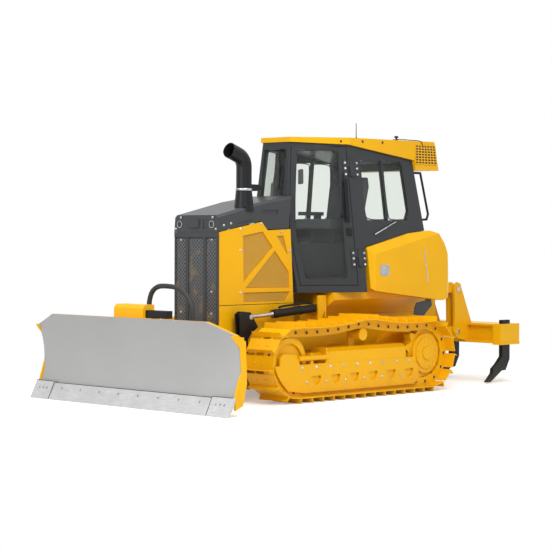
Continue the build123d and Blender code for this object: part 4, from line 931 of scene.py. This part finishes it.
pin_caps("lift_pin_caps", "machine", 30, 7, 461, [ram_foot])
pin_caps("lift_eye_caps", "blade_frame", 28, 7, 468, [(1220, 860)])
pin_caps("ripper_pin_caps", "machine", 30, 8, 300, [(-1850, 577), (-1850, 1073)])
pin_caps("ripper_frame_pin_caps", "ripper", 30, 8, 300, [(-2334, 577), (-2334, 1073)])
print("caps on 12 pin ends")

# %% [markdown]
# ## The room's light
# The background has to be white without more light on the machine. A brighter world would wash out the
# shadows, so the world shows white only to camera, glossy and transmission rays, and lights the machine
# with a weaker, slightly blue white.

# %% World
def seen_directly(tree):
    """1 for camera, glossy and transmission rays, 0 for the rays that carry the room's light."""
    path = add_node(tree, "ShaderNodeLightPath")
    first = add_node(tree, "ShaderNodeMath", {"operation": "MAXIMUM"},
                     {0: path.outputs["Is Camera Ray"], 1: path.outputs["Is Glossy Ray"]}).outputs[0]
    return add_node(tree, "ShaderNodeMath", {"operation": "MAXIMUM"},
                    {0: first, 1: path.outputs["Is Transmission Ray"]}).outputs[0]


world = bpy.data.worlds.new("studio")
bpy.context.scene.world = world
world.use_nodes = True
world.node_tree.nodes.clear()
room = add_node(world.node_tree, "ShaderNodeBackground", {"Color": paint("#F4F6F8"), "Strength": 0.55})
white = add_node(world.node_tree, "ShaderNodeBackground", {"Color": (1, 1, 1, 1), "Strength": 1.0})
choice = add_node(world.node_tree, "ShaderNodeMixShader",
                  links={0: seen_directly(world.node_tree), 1: room.outputs[0], 2: white.outputs[0]})
add_node(world.node_tree, "ShaderNodeOutputWorld", links={"Surface": choice.outputs[0]})
print("world strength", room.inputs["Strength"].default_value, "for light")

# %% [markdown]
# ## Floor
# The floor is matt white studio paint with a little glow of its own where it is seen, so that it stays as
# pale as the background and only the machine's shadow darkens it. It fades out a few metres away, so that
# no horizon shows behind the machine.

# %% Floor
floor_mesh = bpy.data.meshes.new("floor")
reach = 8.0
floor_mesh.from_pydata([(-reach, -reach, 0), (reach, -reach, 0), (reach, reach, 0), (-reach, reach, 0)], [],
                       [(0, 1, 2, 3)])
floor = bpy.data.objects.new("floor", floor_mesh)
bpy.context.scene.collection.objects.link(floor)
fade_from, fade_to = 3.6, 7.5
pale, tree, place = blank_material("pale floor")
matt = add_node(tree, "ShaderNodeBsdfDiffuse", {"Color": paint("#F4F4F4")})
strength = add_node(tree, "ShaderNodeMath", {"operation": "MULTIPLY", 1: 0.3},
                    {0: seen_directly(tree)}).outputs[0]
glow = add_node(tree, "ShaderNodeEmission", {"Color": (1, 1, 1, 1)}, {"Strength": strength})
lit = add_node(tree, "ShaderNodeAddShader", links={0: matt.outputs[0], 1: glow.outputs[0]})
away = add_node(tree, "ShaderNodeVectorMath", {"operation": "LENGTH"}, {0: place}).outputs["Value"]
fade = add_node(tree, "ShaderNodeMapRange", {"From Min": fade_from, "From Max": fade_to},
                {"Value": away}).outputs["Result"]
nothing = add_node(tree, "ShaderNodeBsdfTransparent")
edge = add_node(tree, "ShaderNodeMixShader", links={0: fade, 1: lit.outputs[0], 2: nothing.outputs[0]})
add_node(tree, "ShaderNodeOutputMaterial", links={"Surface": edge.outputs[0]})
floor_mesh.materials.append(pale)
print("floor", 2 * reach, "m wide")

# %% [markdown]
# ## Lamps
# Large soft boxes suit glossy enamel: each shows as one broad, calm highlight, and shadows have no hard
# edge. The key stands ahead and to the left, a weaker one ahead of the blade keeps its face pale, and one
# overhead lights the hood and the roof. A sun lamp would be simpler, but its shadows would be too sharp.

# %% Lamps
def soft_box(name, place, target, size, power):
    """A square area lamp at place, aimed at target."""
    lamp = bpy.data.lights.new(name, "AREA")
    lamp.shape = "SQUARE"
    lamp.size = size
    lamp.energy = power
    holder = bpy.data.objects.new(name, lamp)
    bpy.context.scene.collection.objects.link(holder)
    holder.location = place
    holder.rotation_euler = (Vector(target) - Vector(place)).to_track_quat("-Z", "Y").to_euler()


middle = (0.0, 0.0, 1.2)
soft_box("key", (6.0, 9.0, 9.0), middle, 6.0, 860)
soft_box("front", (12.0, 1.0, 5.0), middle, 6.0, 450)
soft_box("top", (0.0, 0.0, 11.0), middle, 9.0, 500)
print("three soft boxes")

# %% [markdown]
# ## Colour view
# The Standard view keeps colours as they were mixed, without a film curve.

# %% Finish
bpy.context.scene.view_settings.view_transform = "Standard"
